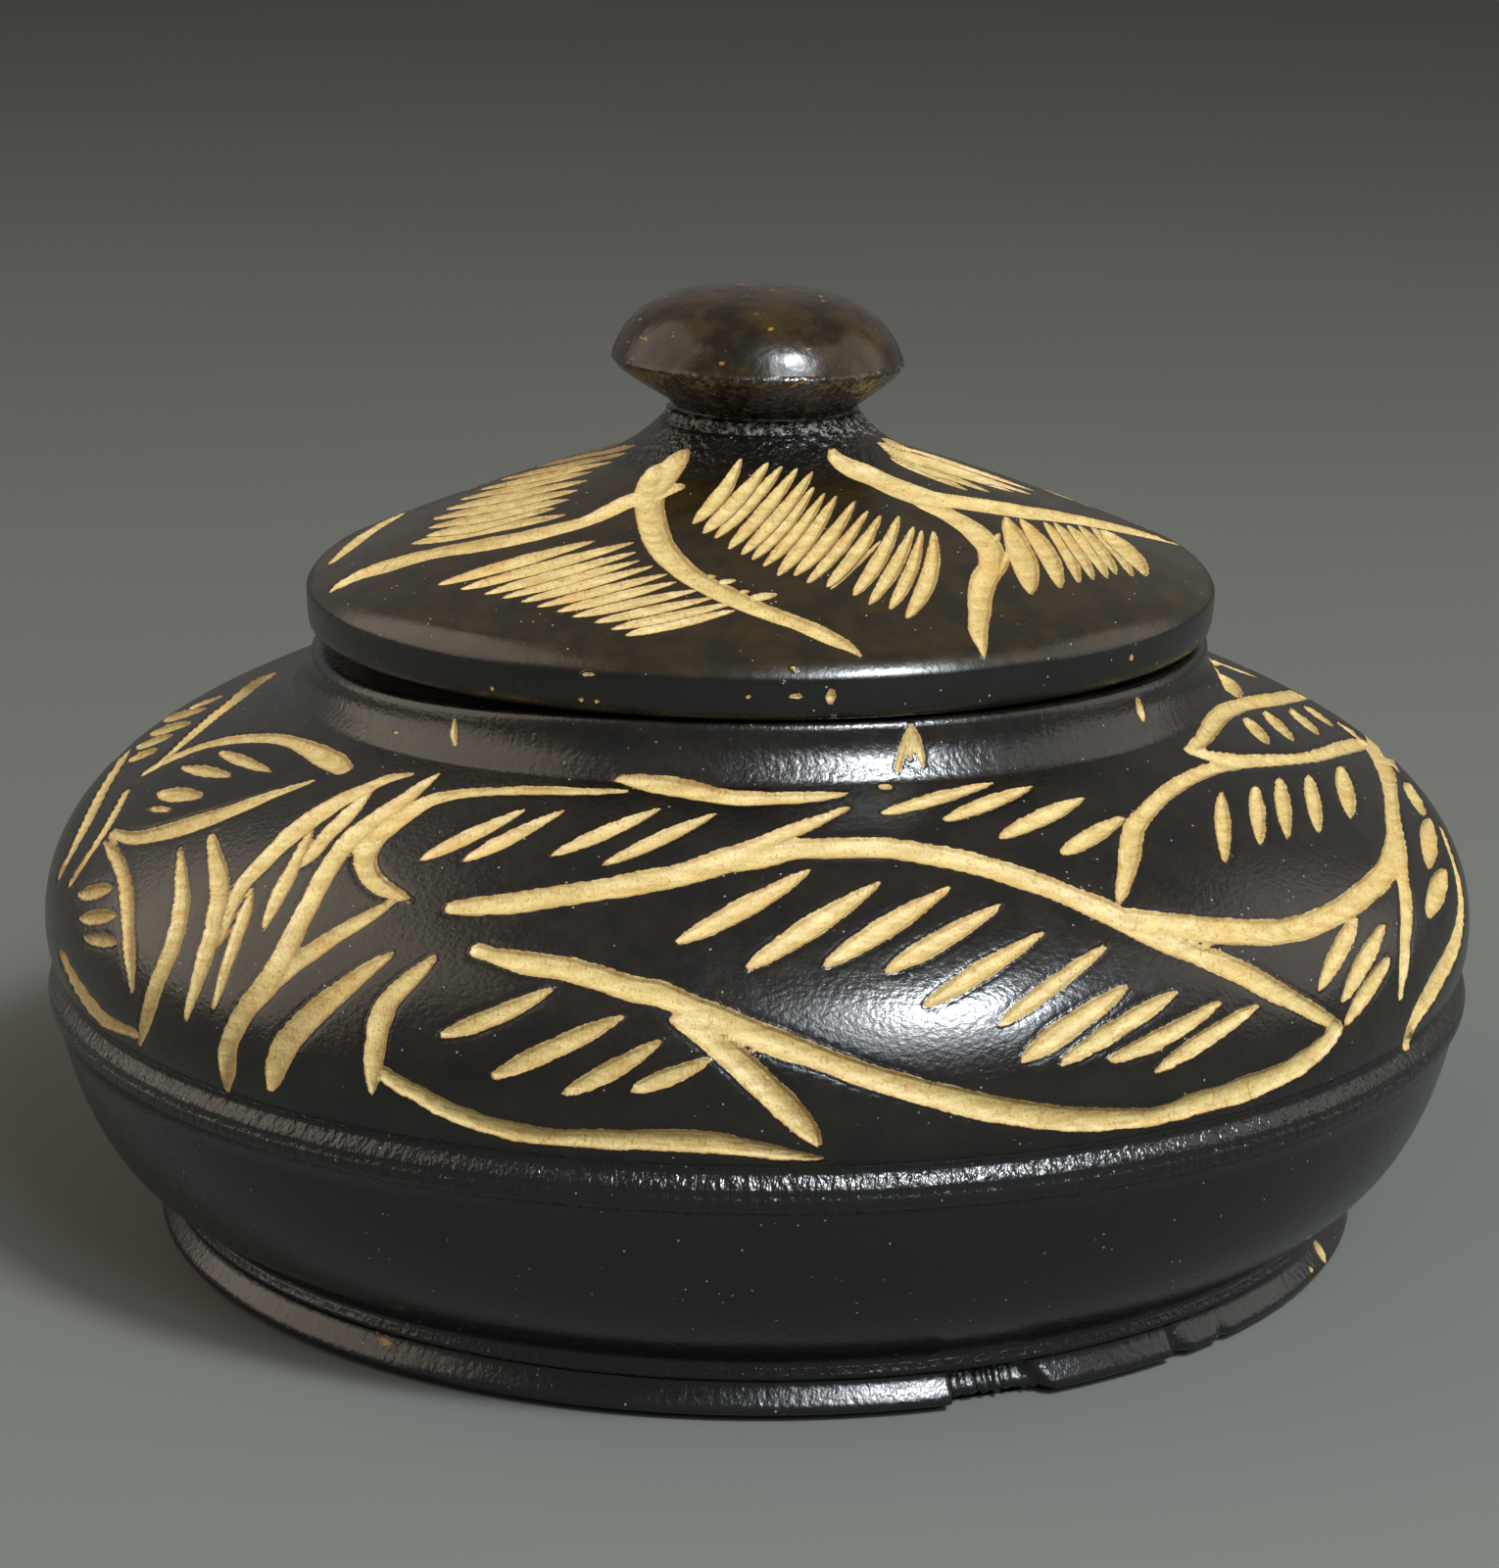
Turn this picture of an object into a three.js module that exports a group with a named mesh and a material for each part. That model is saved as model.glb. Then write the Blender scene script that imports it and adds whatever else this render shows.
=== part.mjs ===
// A hand-turned wooden bowl with a drop-in lid: a squat round belly on a beaded foot, a narrow collar,
// a domed lid whose spigot hangs in the mouth, and a mushroom knob glued into the top of the lid.
// Millimetres, +Z up, with the origin at the centre of the flat that the bowl stands on.
import * as THREE from "three";

// Main heights: the bowl up to its rim, the lid from its seat up to the knob, and the knob above the lid
const bowlHeight = 55.6;
const lidHeight = 18.0;
const knobHeight = 12.15;

// Foot of the bowl
const footRadius = 55.0;
const footBeadRadius = 56.3;
const footLowerBeadHeight = 3.3;
const footGrooveDepth = 0.7;
const footGrooveWidth = 0.5;
const footUpperBeadHeight = 1.2;
const footFilletHeight = 1.6;
const footRingWidth = 8.0;
const footRecessDepth = 2.0;

// Lower band, from the foot up to the bead
const bandBottomRadius = 57.4;
const bandTopRadius = 65.4;
const bandHeight = 15.1;

// Bead under the belly
const beadRadius = 66.0;
const beadEdgeHeight = 0.6;
const beadFaceHeight = 1.8;
const beadChamferHeight = 1.2;

// Belly and shoulder
const bellyRadius = 66.1;
const bellyLowerHeight = 4.2;
const collarRootRadius = 43.1;

// Collar and mouth
const collarRadius = 41.3;
const collarHeight = 5.1;
const collarLipRadius = 0.8;
const mouthRadius = 36.5;

// Hollow of the bowl
const wallThickness = 5.5;
const floorThickness = 6.0;

// Lid
const lidRadius = 41.7;
const lidSeatGap = 0.3;
const lidRimHeight = 3.1;
const lidEdgeWidth = 1.5;
const lidEdgeHeight = 2.1;
const domeTopRadius = 15.0;
const coneHeight = 3.3;
const lidThickness = 6.0;

// Spigot that hangs in the mouth
const spigotClearance = 0.5;
const spigotDepth = 4.4;
const spigotWall = 3.6;

// Knob and its glued joint
const knobRadius = 13.35;
const knobSeatRadius = 9.4;
const knobSeatHeight = 1.1;
const knobNeckRadius = 8.75;
const knobUnderHeight = 4.5;
const tenonRadius = 4.0;
const tenonLength = 4.5;
const glueGap = 0.3;

// Fineness of the turned surfaces
const turnSteps = 64;
const knobTurnSteps = 48;

// Shapes of the curved stretches: how far each control point lies along its stretch, as shares of the
// stretch's width and of its height, counted from the end that is drawn first.
const bandCurveShares = [0.75, 0.23];
const shoulderCurveShares = [[0.0, 0.62], [0.74, 0.863]];
const collarCurveShares = [0.94, 0.51];
const domeCurveShares = [[0.3, 0.353], [0.667, 0.726]];
const coneCurveShares = [0.486, 0.228];
const knobUnderCurveShares = [[-0.53, -0.044], [1.01, 0.669]];
const knobCrownCurveShares = [[0.0, 0.424], [0.421, 1.0]];
const hollowShoulderCurveShares = [[0.0, 0.55], [0.24, 0.86]];
const hollowFloorCurveShares = [[0.62, 0.0], [1.0, 0.34]];
const lidHollowCurveShares = [[0.38, 0.0], [0.92, 0.5]];
const footBeadSwellShare = 0.55;
const lidEdgeSoftShare = 0.35;

const at = (radius, height) => new THREE.Vector2(radius, height);

// A point that lies the given shares of the way from one point to another.
function between(from, to, [widthShare, heightShare]) {
  return at(
    from.x + (to.x - from.x) * widthShare,
    from.y + (to.y - from.y) * heightShare,
  );
}

// A curved stretch with one control point. Its first point is left out, as the outline already has it.
function bend(from, to, shares, steps) {
  const curve = new THREE.QuadraticBezierCurve(from, between(from, to, shares), to);
  return curve.getPoints(steps).slice(1);
}

// A curved stretch with two control points.
function sweep(from, to, [firstShares, secondShares], steps) {
  const first = between(from, to, firstShares);
  const second = between(from, to, secondShares);
  return new THREE.CubicBezierCurve(from, first, second, to).getPoints(steps).slice(1);
}

// An outline turned once about the upright axis.
function turned(name, outline, steps, look) {
  const geometry = new THREE.LatheGeometry(outline, steps);
  geometry.rotateX(Math.PI / 2);
  const mesh = new THREE.Mesh(geometry, new THREE.MeshStandardMaterial(look));
  mesh.name = name;
  return mesh;
}

// Heights at which the stretches of the bowl's outline meet, from the foot up
const footTop = footLowerBeadHeight + footGrooveWidth + footUpperBeadHeight + footFilletHeight;
const bandTop = footTop + bandHeight;
const beadTop = bandTop + beadEdgeHeight + beadFaceHeight + beadChamferHeight;
const bellyMiddle = beadTop + bellyLowerHeight;
const collarRoot = bowlHeight - collarHeight;
const hollowFloor = footRecessDepth + floorThickness;

// The foot: a flat ring, a fat lower bead, a thin groove, a slim upper bead and a fillet to the band.
function footOutline() {
  const ringInner = footRadius - footRingWidth;
  const grooveBottom = footLowerBeadHeight;
  const grooveTop = grooveBottom + footGrooveWidth;
  const upperBeadTop = grooveTop + footUpperBeadHeight;
  const flatEdge = at(footRadius, 0);
  const lowerBeadTop = at(footBeadRadius, grooveBottom);
  return [
    at(0, footRecessDepth),
    at(ringInner - footRecessDepth, footRecessDepth),
    at(ringInner, 0),
    flatEdge,
    ...bend(flatEdge, lowerBeadTop, [footBeadSwellShare, 1 - footBeadSwellShare], 2),
    at(footBeadRadius - footGrooveDepth, grooveBottom + footGrooveWidth / 2),
    at(footBeadRadius, grooveTop),
    at(footBeadRadius, upperBeadTop),
    at(bandBottomRadius, footTop),
  ];
}

// The outside wall: the swelling lower band, the bead, the belly, the shoulder and the collar.
function wallOutline() {
  const bandStart = at(bandBottomRadius, footTop);
  const bandEnd = at(bandTopRadius, bandTop);
  const beadFace = bandTop + beadEdgeHeight;
  const belly = at(bellyRadius, bellyMiddle);
  const root = at(collarRootRadius, collarRoot);
  const lip = at(collarRadius, bowlHeight - collarLipRadius);
  return [
    ...bend(bandStart, bandEnd, bandCurveShares, 6),
    at(beadRadius, beadFace),
    at(beadRadius, beadFace + beadFaceHeight),
    at(bandTopRadius, beadTop),
    belly,
    ...sweep(belly, root, shoulderCurveShares, 10),
    ...bend(root, lip, collarCurveShares, 3),
    at(collarRadius - collarLipRadius, bowlHeight),
  ];
}

// The hollow, from the mouth down: under the shoulder, out to the wall, and in over the floor.
function hollowOutline() {
  const hollowRadius = bellyRadius - wallThickness;
  const mouthBottom = at(mouthRadius, collarRoot - wallThickness + collarLipRadius);
  const side = at(hollowRadius, bellyMiddle);
  const middle = at(0, hollowFloor);
  const underShoulder = sweep(side, mouthBottom, hollowShoulderCurveShares, 8).reverse();
  const lowerWall = sweep(middle, side, hollowFloorCurveShares, 9).reverse();
  return [
    at(mouthRadius, bowlHeight),
    ...underShoulder,
    side,
    ...lowerWall.slice(1),
    middle,
  ];
}

const bowl = turned(
  "bowl",
  [...footOutline(), ...wallOutline(), ...hollowOutline()],
  turnSteps,
  { color: 0x17130f, roughness: 0.35, metalness: 0 },
);

// Heights of the lid, from its seat up
const lidBottom = bowlHeight + lidSeatGap;
const lidRimTop = lidBottom + lidRimHeight;
const domeBottom = lidRimTop + lidEdgeHeight;
const lidTop = lidBottom + lidHeight;
const domeTop = lidTop - coneHeight;

// The lid: a spigot below, a rim that covers the collar, the dome, the cone under the knob, and the
// blind hole for the knob's tenon.
function lidOutline() {
  const spigotRadius = mouthRadius - spigotClearance;
  const spigotInner = spigotRadius - spigotWall;
  const spigotBottom = bowlHeight - spigotDepth;
  const holeRadius = tenonRadius + glueGap;
  const holeBottom = lidTop - tenonLength - glueGap;
  const rimEdge = at(lidRadius, lidRimTop);
  const domeStart = at(lidRadius - lidEdgeWidth, domeBottom);
  const domeEnd = at(domeTopRadius, domeTop);
  const seatEdge = at(knobSeatRadius, lidTop);
  const hollowTop = at(0, holeBottom - lidThickness);
  const hollowEdge = at(spigotInner, lidBottom);
  return [
    hollowTop,
    ...sweep(hollowTop, hollowEdge, lidHollowCurveShares, 6),
    at(spigotInner, spigotBottom),
    at(spigotRadius, spigotBottom),
    at(spigotRadius, lidBottom),
    at(lidRadius, lidBottom),
    rimEdge,
    ...bend(rimEdge, domeStart, [lidEdgeSoftShare, 1 - lidEdgeSoftShare], 3),
    ...sweep(domeStart, domeEnd, domeCurveShares, 7),
    ...bend(domeEnd, seatEdge, coneCurveShares, 3),
    at(holeRadius, lidTop),
    at(holeRadius, holeBottom),
    at(0, holeBottom),
  ];
}

const lid = turned(
  "lid",
  lidOutline(),
  turnSteps,
  { color: 0x241c13, roughness: 0.3, metalness: 0 },
);

// The knob: a tenon, a flat seat, a narrow neck, a flaring underside and a low crown.
function knobOutline() {
  const seat = lidTop + glueGap;
  const neckHeight = seat + knobSeatHeight;
  const widest = neckHeight + knobUnderHeight;
  const neck = at(knobNeckRadius, neckHeight);
  const rim = at(knobRadius, widest);
  const crown = at(0, seat + knobHeight);
  return [
    at(0, lidTop - tenonLength),
    at(tenonRadius, lidTop - tenonLength),
    at(tenonRadius, seat),
    at(knobSeatRadius, seat),
    neck,
    ...sweep(neck, rim, knobUnderCurveShares, 6),
    ...sweep(rim, crown, knobCrownCurveShares, 8),
  ];
}

const knob = turned(
  "knob",
  knobOutline(),
  knobTurnSteps,
  { color: 0x1c1611, roughness: 0.3, metalness: 0 },
);

const liddedBowl = new THREE.Group();
liddedBowl.add(bowl, lid, knob);

export default liddedBowl;
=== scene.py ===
import bpy
import numpy as np
from mathutils import Matrix


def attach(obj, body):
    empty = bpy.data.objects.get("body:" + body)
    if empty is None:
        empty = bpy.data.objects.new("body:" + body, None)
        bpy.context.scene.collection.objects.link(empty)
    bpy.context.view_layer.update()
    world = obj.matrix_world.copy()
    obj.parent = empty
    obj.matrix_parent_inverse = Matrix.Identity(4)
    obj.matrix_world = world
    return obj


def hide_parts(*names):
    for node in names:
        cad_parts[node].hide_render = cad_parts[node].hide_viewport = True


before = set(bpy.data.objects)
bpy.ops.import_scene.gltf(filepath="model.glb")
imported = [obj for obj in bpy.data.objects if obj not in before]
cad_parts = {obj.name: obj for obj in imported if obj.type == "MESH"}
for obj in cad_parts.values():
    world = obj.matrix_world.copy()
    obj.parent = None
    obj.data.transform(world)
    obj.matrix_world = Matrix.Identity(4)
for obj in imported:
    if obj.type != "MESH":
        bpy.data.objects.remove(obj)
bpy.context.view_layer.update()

# A turned wooden bowl with a drop-in lid and a mushroom knob, painted black and carved through the paint.
# Shapes are worked out in millimetres, with +Z up and -Y towards the camera, and written in metres.
MM = 0.001

# Camera, fitted to the round edges of the bowl and the lid, in pixels, millimetres and radians
IMAGE_WIDTH = 1530
IMAGE_HEIGHT = 1600
FOCAL_PIXELS = 4119.14
SENSOR_WIDTH = 36.0
CAMERA_DISTANCE = 380.0
CAMERA_ELEVATION = 0.28207
CAMERA_ROLL = 0.0065937
AIM_HEIGHT = 30.0
AIM_PIXEL = (773.505, 901.07)

# Samples along a ray from the camera to a turned surface, in millimetres from the camera
RAY_NEAREST = 300.0
RAY_FARTHEST = 460.0
RAY_SAMPLES = 641

# Columns of points round the axis, and how much they crowd towards the front. Plainer stretches have a half,
# a quarter or an eighth of the columns.
BOWL_COLUMNS = 864
LID_COLUMNS = 640
KNOB_COLUMNS = 256
FRONT_CROWDING = 0.22

# Cuts: depth for each millimetre of half width, the deepest, how round their section is, the narrowest half
# width, how far round a cut the distance to it is worked out, and the distance that stands for farther off
GOUGE_DEPTH_SHARE = 0.55
NICK_DEPTH_SHARE = 0.25
GOUGE_DEEPEST = 0.7
CUT_ROUNDNESS = 1.2
NARROWEST_CUT = 0.05
CUT_REACH = 1.6
FAR_FROM_CUTS = 4.0

# Course and width of the strokes
STROKE_STEP_PIXELS = 6.0
THINNEST_PIXELS = 1.5
BLADE_END_SHARE = 0.015
BLADE_FULLNESS = 0.85
BLADE_BLUNTNESS = 0.6
NARROWEST_SHARE = 0.8
WIDTH_WAVER = 0.04
WAVER_STEP = 3

# Strokes that are cut again on the far side: those that stay within this azimuth or below this height, with
# the spread of the twins' heights and the range of their widths
TWIN_REACH_DEGREES = 74.0
TWIN_LOW_HEIGHT = 42.0
TWIN_LIFT = 0.12
TWIN_WIDTHS = (0.92, 1.08)

# Long strokes of the belly, as points of the photograph's frame: x, y and width in pixels
BELLY_VEINS = {
    "left_branch_up": (
        (165, 775, 6), (190, 753, 10), (215, 731, 12), (240, 711, 13), (255, 698, 15), (268, 688, 16)),
    "left_branch_over": (
        (149, 787, 6), (170, 775, 9), (192, 765, 10), (212, 758, 9), (230, 754, 10), (252, 751, 10),
        (275, 750, 11), (292, 752, 13), (310, 758, 18), (325, 766, 23), (340, 775, 26), (350, 783, 20)),
    "left_low_branch": (
        (114, 849, 8), (127, 853, 13), (140, 854, 14), (165, 849, 15), (190, 842, 16), (215, 834, 14),
        (240, 825, 13), (265, 815, 10), (290, 806, 7), (319, 796, 3)),
    "left_edge_outer": ((128, 768, 8), (105, 805, 12), (85, 845, 14), (62, 890, 10)),
    "left_edge_inner": ((128, 808, 6), (112, 838, 8), (92, 870, 8), (72, 900, 6)),
    "left_stem": (
        (107, 858, 6), (113, 868, 12), (120, 880, 15), (126, 898, 15), (129, 920, 14), (130, 945, 13),
        (131, 965, 13), (133, 990, 10), (134, 1012, 4)),
    "left_low_arc": ((62, 975, 8), (80, 1010, 13), (105, 1040, 13), (138, 1055, 10)),
    "left_blade_one": (
        (183, 866, 6), (184, 890, 13), (185, 915, 16), (182, 940, 17), (175, 965, 17), (167, 985, 16),
        (159, 1005, 15), (153, 1025, 15), (147, 1045, 12), (142, 1066, 4)),
    "left_blade_two": (
        (215, 853, 9), (219, 875, 16), (223, 895, 20), (223, 915, 20), (219, 935, 19), (216, 952, 18),
        (210, 970, 17), (204, 990, 15), (198, 1010, 12), (192, 1030, 8), (189, 1043, 3)),
    "sweep_outer": (
        (420, 789, 4), (395, 794, 9), (370, 806, 11), (345, 818, 14), (320, 834, 16), (300, 849, 17),
        (282, 866, 17), (267, 881, 16), (252, 897, 15), (242, 912, 13), (235, 929, 12), (229, 945, 10),
        (224, 960, 7)),
    "sweep_spur": (
        (257, 906, 4), (251, 927, 12), (243, 950, 13), (236, 970, 12), (229, 990, 11), (223, 1010, 9),
        (217, 1030, 3)),
    "sweep_middle": (
        (319, 842, 5), (311, 860, 10), (303, 875, 12), (296, 890, 14), (288, 905, 15), (280, 922, 13),
        (272, 938, 10), (269, 949, 3)),
    "sweep_short": (
        (377, 809, 4), (360, 826, 12), (346, 840, 14), (332, 854, 14), (321, 869, 13), (311, 880, 6)),
    "sweep_inner": (
        (446, 790, 4), (427, 804, 11), (407, 820, 14), (390, 830, 14), (372, 844, 17), (357, 856, 19),
        (346, 870, 19), (336, 885, 19), (326, 902, 20), (316, 922, 20), (306, 940, 20), (296, 960, 21),
        (289, 975, 22), (280, 992, 24), (270, 1007, 24), (256, 1022, 21), (246, 1037, 20), (237, 1055, 20),
        (232, 1072, 20), (231, 1090, 18), (231, 1112, 6)),
    "sweep_fork": (
        (398, 922, 5), (380, 933, 12), (360, 944, 14), (340, 956, 16), (320, 970, 17), (302, 982, 18),
        (285, 997, 16)),
    "sweep_low": (
        (399, 974, 6), (380, 986, 14), (360, 1001, 18), (340, 1017, 22), (320, 1034, 25), (304, 1050, 26),
        (292, 1065, 26), (284, 1081, 25), (279, 1095, 22), (275, 1111, 8)),
    "top_leaf": (
        (420, 920, 5), (403, 912, 14), (385, 902, 19), (375, 890, 22), (372, 877, 24), (375, 865, 24),
        (385, 851, 22), (400, 840, 19), (417, 830, 15), (437, 818, 13), (460, 812, 11), (487, 809, 9),
        (520, 808, 9), (547, 808, 9), (573, 809, 8), (600, 810, 7), (623, 810, 5), (643, 810, 2)),
    "top_leaf_over": (
        (628, 797, 6), (645, 800, 12), (660, 803, 17), (687, 807, 20), (713, 811, 19), (733, 815, 16),
        (760, 818, 14), (810, 817, 12), (843, 815, 9), (864, 813, 3)),
    "middle_vein_root": (
        (462, 926, 14), (493, 924, 20), (527, 921, 21), (560, 916, 22), (593, 911, 22), (627, 906, 22),
        (660, 900, 23), (693, 894, 24), (727, 884, 25), (760, 871, 20), (793, 856, 14), (827, 843, 12),
        (865, 827, 5)),
    "middle_vein": (
        (743, 884, 14), (777, 877, 21), (810, 868, 21), (843, 867, 20), (877, 866, 20), (910, 867, 20),
        (943, 872, 21), (977, 878, 21), (1010, 886, 21), (1043, 896, 21), (1075, 907, 21), (1100, 917, 21),
        (1125, 928, 23), (1150, 940, 24), (1175, 953, 23), (1200, 965, 21), (1225, 975, 21), (1250, 984, 23),
        (1275, 996, 24), (1300, 1010, 22), (1325, 1023, 19), (1350, 1037, 16), (1368, 1047, 11)),
    "low_vein": (
        (487, 969, 14), (510, 976, 18), (543, 983, 25), (577, 988, 26), (610, 997, 26), (643, 1008, 28),
        (677, 1015, 27), (710, 1030, 28), (743, 1043, 28), (777, 1058, 28), (810, 1070, 28), (843, 1082, 26),
        (880, 1096, 25), (920, 1108, 26), (960, 1119, 27), (1000, 1129, 29), (1025, 1134, 29),
        (1050, 1138, 28), (1075, 1141, 27), (1100, 1143, 26), (1125, 1143, 23), (1150, 1142, 20),
        (1175, 1141, 18), (1200, 1134, 20), (1225, 1126, 23), (1250, 1119, 24), (1275, 1111, 25),
        (1300, 1101, 23), (1325, 1088, 21), (1342, 1076, 19), (1357, 1062, 15), (1367, 1049, 11)),
    "low_vein_fork": (
        (690, 1040, 14), (715, 1052, 24), (735, 1068, 28), (755, 1085, 29), (775, 1104, 30), (795, 1123, 30),
        (813, 1141, 27), (827, 1157, 18), (836, 1169, 6)),
    "low_leaf_side": (
        (443, 977, 6), (429, 990, 15), (412, 1005, 18), (397, 1020, 21), (390, 1035, 23), (385, 1050, 24),
        (383, 1065, 24), (381, 1080, 22), (379, 1097, 16), (379, 1115, 6)),
    "low_leaf": (
        (391, 1096, 14), (407, 1107, 17), (427, 1117, 18), (447, 1129, 18), (468, 1138, 18), (490, 1146, 18),
        (513, 1153, 18), (540, 1158, 18), (567, 1161, 17), (600, 1162, 19), (633, 1164, 20), (667, 1164, 21),
        (700, 1165, 23), (733, 1167, 21), (767, 1173, 18), (800, 1178, 13), (827, 1182, 7), (840, 1182, 3)),
    "right_leaf_top": (
        (1216, 762, 10), (1228, 752, 17), (1237, 738, 21), (1246, 727, 21), (1257, 720, 18), (1272, 715, 15),
        (1290, 712, 14), (1305, 710, 13), (1320, 708, 11), (1336, 708, 8)),
    "right_leaf_low": (
        (1216, 765, 8), (1237, 770, 12), (1260, 774, 14), (1285, 774, 13), (1305, 773, 12), (1325, 772, 11),
        (1345, 769, 13), (1362, 764, 15), (1377, 760, 15), (1390, 757, 12)),
    "right_leaf_stub": ((1374, 741, 10), (1383, 749, 11), (1392, 756, 12)),
    "right_round_leaf": (
        (1280, 777, 8), (1260, 779, 10), (1240, 782, 13), (1222, 789, 15), (1207, 797, 16), (1195, 805, 17),
        (1181, 817, 18), (1169, 830, 19), (1159, 842, 22), (1155, 857, 23), (1153, 872, 22), (1150, 890, 19),
        (1146, 905, 16), (1143, 917, 10)),
    "right_vein": (
        (1158, 933, 12), (1175, 939, 19), (1195, 943, 25), (1215, 946, 27), (1237, 949, 27), (1262, 950, 27),
        (1287, 951, 27), (1312, 949, 27), (1332, 945, 27), (1350, 938, 27), (1375, 925, 27), (1390, 913, 26),
        (1405, 901, 27), (1416, 887, 24), (1421, 868, 18), (1423, 850, 14)),
    "right_stem": (
        (1399, 750, 12), (1405, 765, 15), (1412, 780, 16), (1417, 795, 15), (1420, 810, 14), (1422, 830, 14),
        (1425, 850, 16), (1429, 872, 14), (1432, 895, 12), (1435, 915, 12), (1436, 935, 12), (1435, 955, 11),
        (1434, 975, 10), (1432, 997, 8), (1430, 1017, 5)),
    "right_edge": (
        (1472, 846, 5), (1480, 868, 7), (1487, 890, 9), (1491, 910, 12), (1492, 930, 13), (1490, 950, 14),
        (1485, 967, 15), (1477, 984, 16), (1467, 1002, 17), (1457, 1019, 17), (1447, 1036, 16),
        (1440, 1050, 14), (1437, 1066, 8)),
}

# Short leaf strokes of the belly: x and y of both ends and the greatest width in pixels, and the bow as a
# share of the length
BELLY_BLADES = {
    "left_upper_leaf": (
        (194, 720, 226, 709, 12, 0), (168, 732, 210, 722, 14, 0), (154, 746, 194, 737, 13, 0),
        (140, 760, 176, 750, 12, 0), (132, 773, 160, 765, 11, 0), (221, 764, 277, 787, 12, 0),
        (185, 781, 238, 791, 12, 0), (160, 808, 208, 812, 16, 0), (150, 824, 177, 826, 7, 0)),
    "left_rungs": ((79, 913, 116, 906, 16, 0), (80, 937, 120, 934, 15, 0), (84, 957, 121, 962, 14, 0)),
    "top_leaf": (
        (428, 878, 537, 827, 14, 0), (473, 879, 577, 828, 14, 0), (563, 874, 675, 827, 14, 0),
        (615, 884, 732, 832, 14, 0)),
    "top_right": (
        (899, 833, 1015, 800, 13, 0), (963, 839, 1055, 803, 15, 0), (1020, 856, 1107, 814, 18, 0),
        (1082, 873, 1150, 832, 19, 0)),
    "middle_leaf": (
        (690, 962, 828, 888, 21, 0.013), (761, 989, 900, 900, 23, 0), (840, 986, 971, 905, 22, 0),
        (903, 992, 1023, 923, 21, 0), (943, 1027, 1067, 950, 20, 0), (1019, 1047, 1133, 962, 18, 0),
        (1042, 1083, 1154, 1004, 25, 0), (1082, 1086, 1206, 1009, 21, 0), (1130, 1083, 1249, 1020, 20, 0.037),
        (1179, 1094, 1290, 1022, 18, 0)),
    "low_leaf": (
        (447, 1057, 568, 1006, 20, 0.03), (500, 1100, 639, 1036, 22, 0), (573, 1117, 677, 1060, 20, 0.025),
        (643, 1113, 728, 1079, 19, 0.02)),
    "right_leaf": (
        (1274, 730, 1293, 757, 13, 0), (1293, 723, 1319, 754, 12, 0), (1319, 721, 1345, 748, 13, 0),
        (1337, 720, 1358, 739, 13, 0), (1241, 677, 1262, 708, 18, 0), (1233, 669, 1284, 689, 12, 0)),
    "right_round_leaf": (
        (1247, 807, 1250, 881, 17, 0), (1282, 800, 1286, 862, 16, 0), (1307, 792, 1314, 856, 17, 0),
        (1337, 790, 1346, 850, 17, 0), (1370, 780, 1378, 834, 18, 0)),
    "right_low_leaf": (
        (1386, 935, 1346, 1011, 19, 0), (1414, 943, 1369, 1024, 18, 0), (1419, 978, 1372, 1047, 17, 0),
        (1440, 800, 1450, 831, 15, 0), (1461, 836, 1457, 886, 19, 0), (1477, 888, 1456, 936, 22, 0)),
}

# Long strokes of the lid
LID_VEINS = {
    "far_left": ((339, 573, 4), (355, 560, 8), (372, 546, 10), (390, 535, 10), (405, 526, 9), (416, 522, 5)),
    "left_vein": (
        (340, 601, 4), (355, 592, 9), (370, 585, 11), (385, 580, 12), (400, 576, 12), (420, 570, 11),
        (450, 563, 11), (485, 557, 12), (520, 551, 13), (560, 542, 12), (597, 532, 11), (620, 522, 14),
        (640, 512, 14), (665, 505, 14), (691, 497, 8)),
    "left_branch": (
        (669, 480, 21), (665, 492, 29), (663, 506, 32), (663, 521, 32), (667, 538, 31), (672, 553, 29),
        (681, 566, 26), (700, 584, 22), (720, 596, 20), (740, 606, 20), (766, 618, 18), (792, 628, 15),
        (820, 638, 15), (850, 652, 14), (866, 660, 10), (881, 671, 2)),
    "left_branch_arm": ((671, 500, 24), (678, 487, 26), (686, 475, 22), (693, 467, 15), (699, 461, 6)),
    "right_vein": (
        (851, 461, 9), (856, 469, 16), (870, 478, 18), (890, 486, 18), (915, 497, 18), (940, 506, 18),
        (965, 510, 13), (1000, 515, 14), (1040, 521, 13), (1090, 528, 11), (1140, 538, 11), (1177, 547, 9),
        (1201, 555, 3)),
    "right_branch": (
        (947, 514, 16), (970, 526, 15), (990, 538, 19), (1002, 549, 22), (1010, 560, 26), (1011, 570, 26),
        (1011, 580, 27), (1005, 590, 29), (1002, 600, 28), (1000, 610, 25), (1000, 625, 24), (998, 642, 21),
        (1001, 655, 14), (1004, 669, 4)),
}

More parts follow.
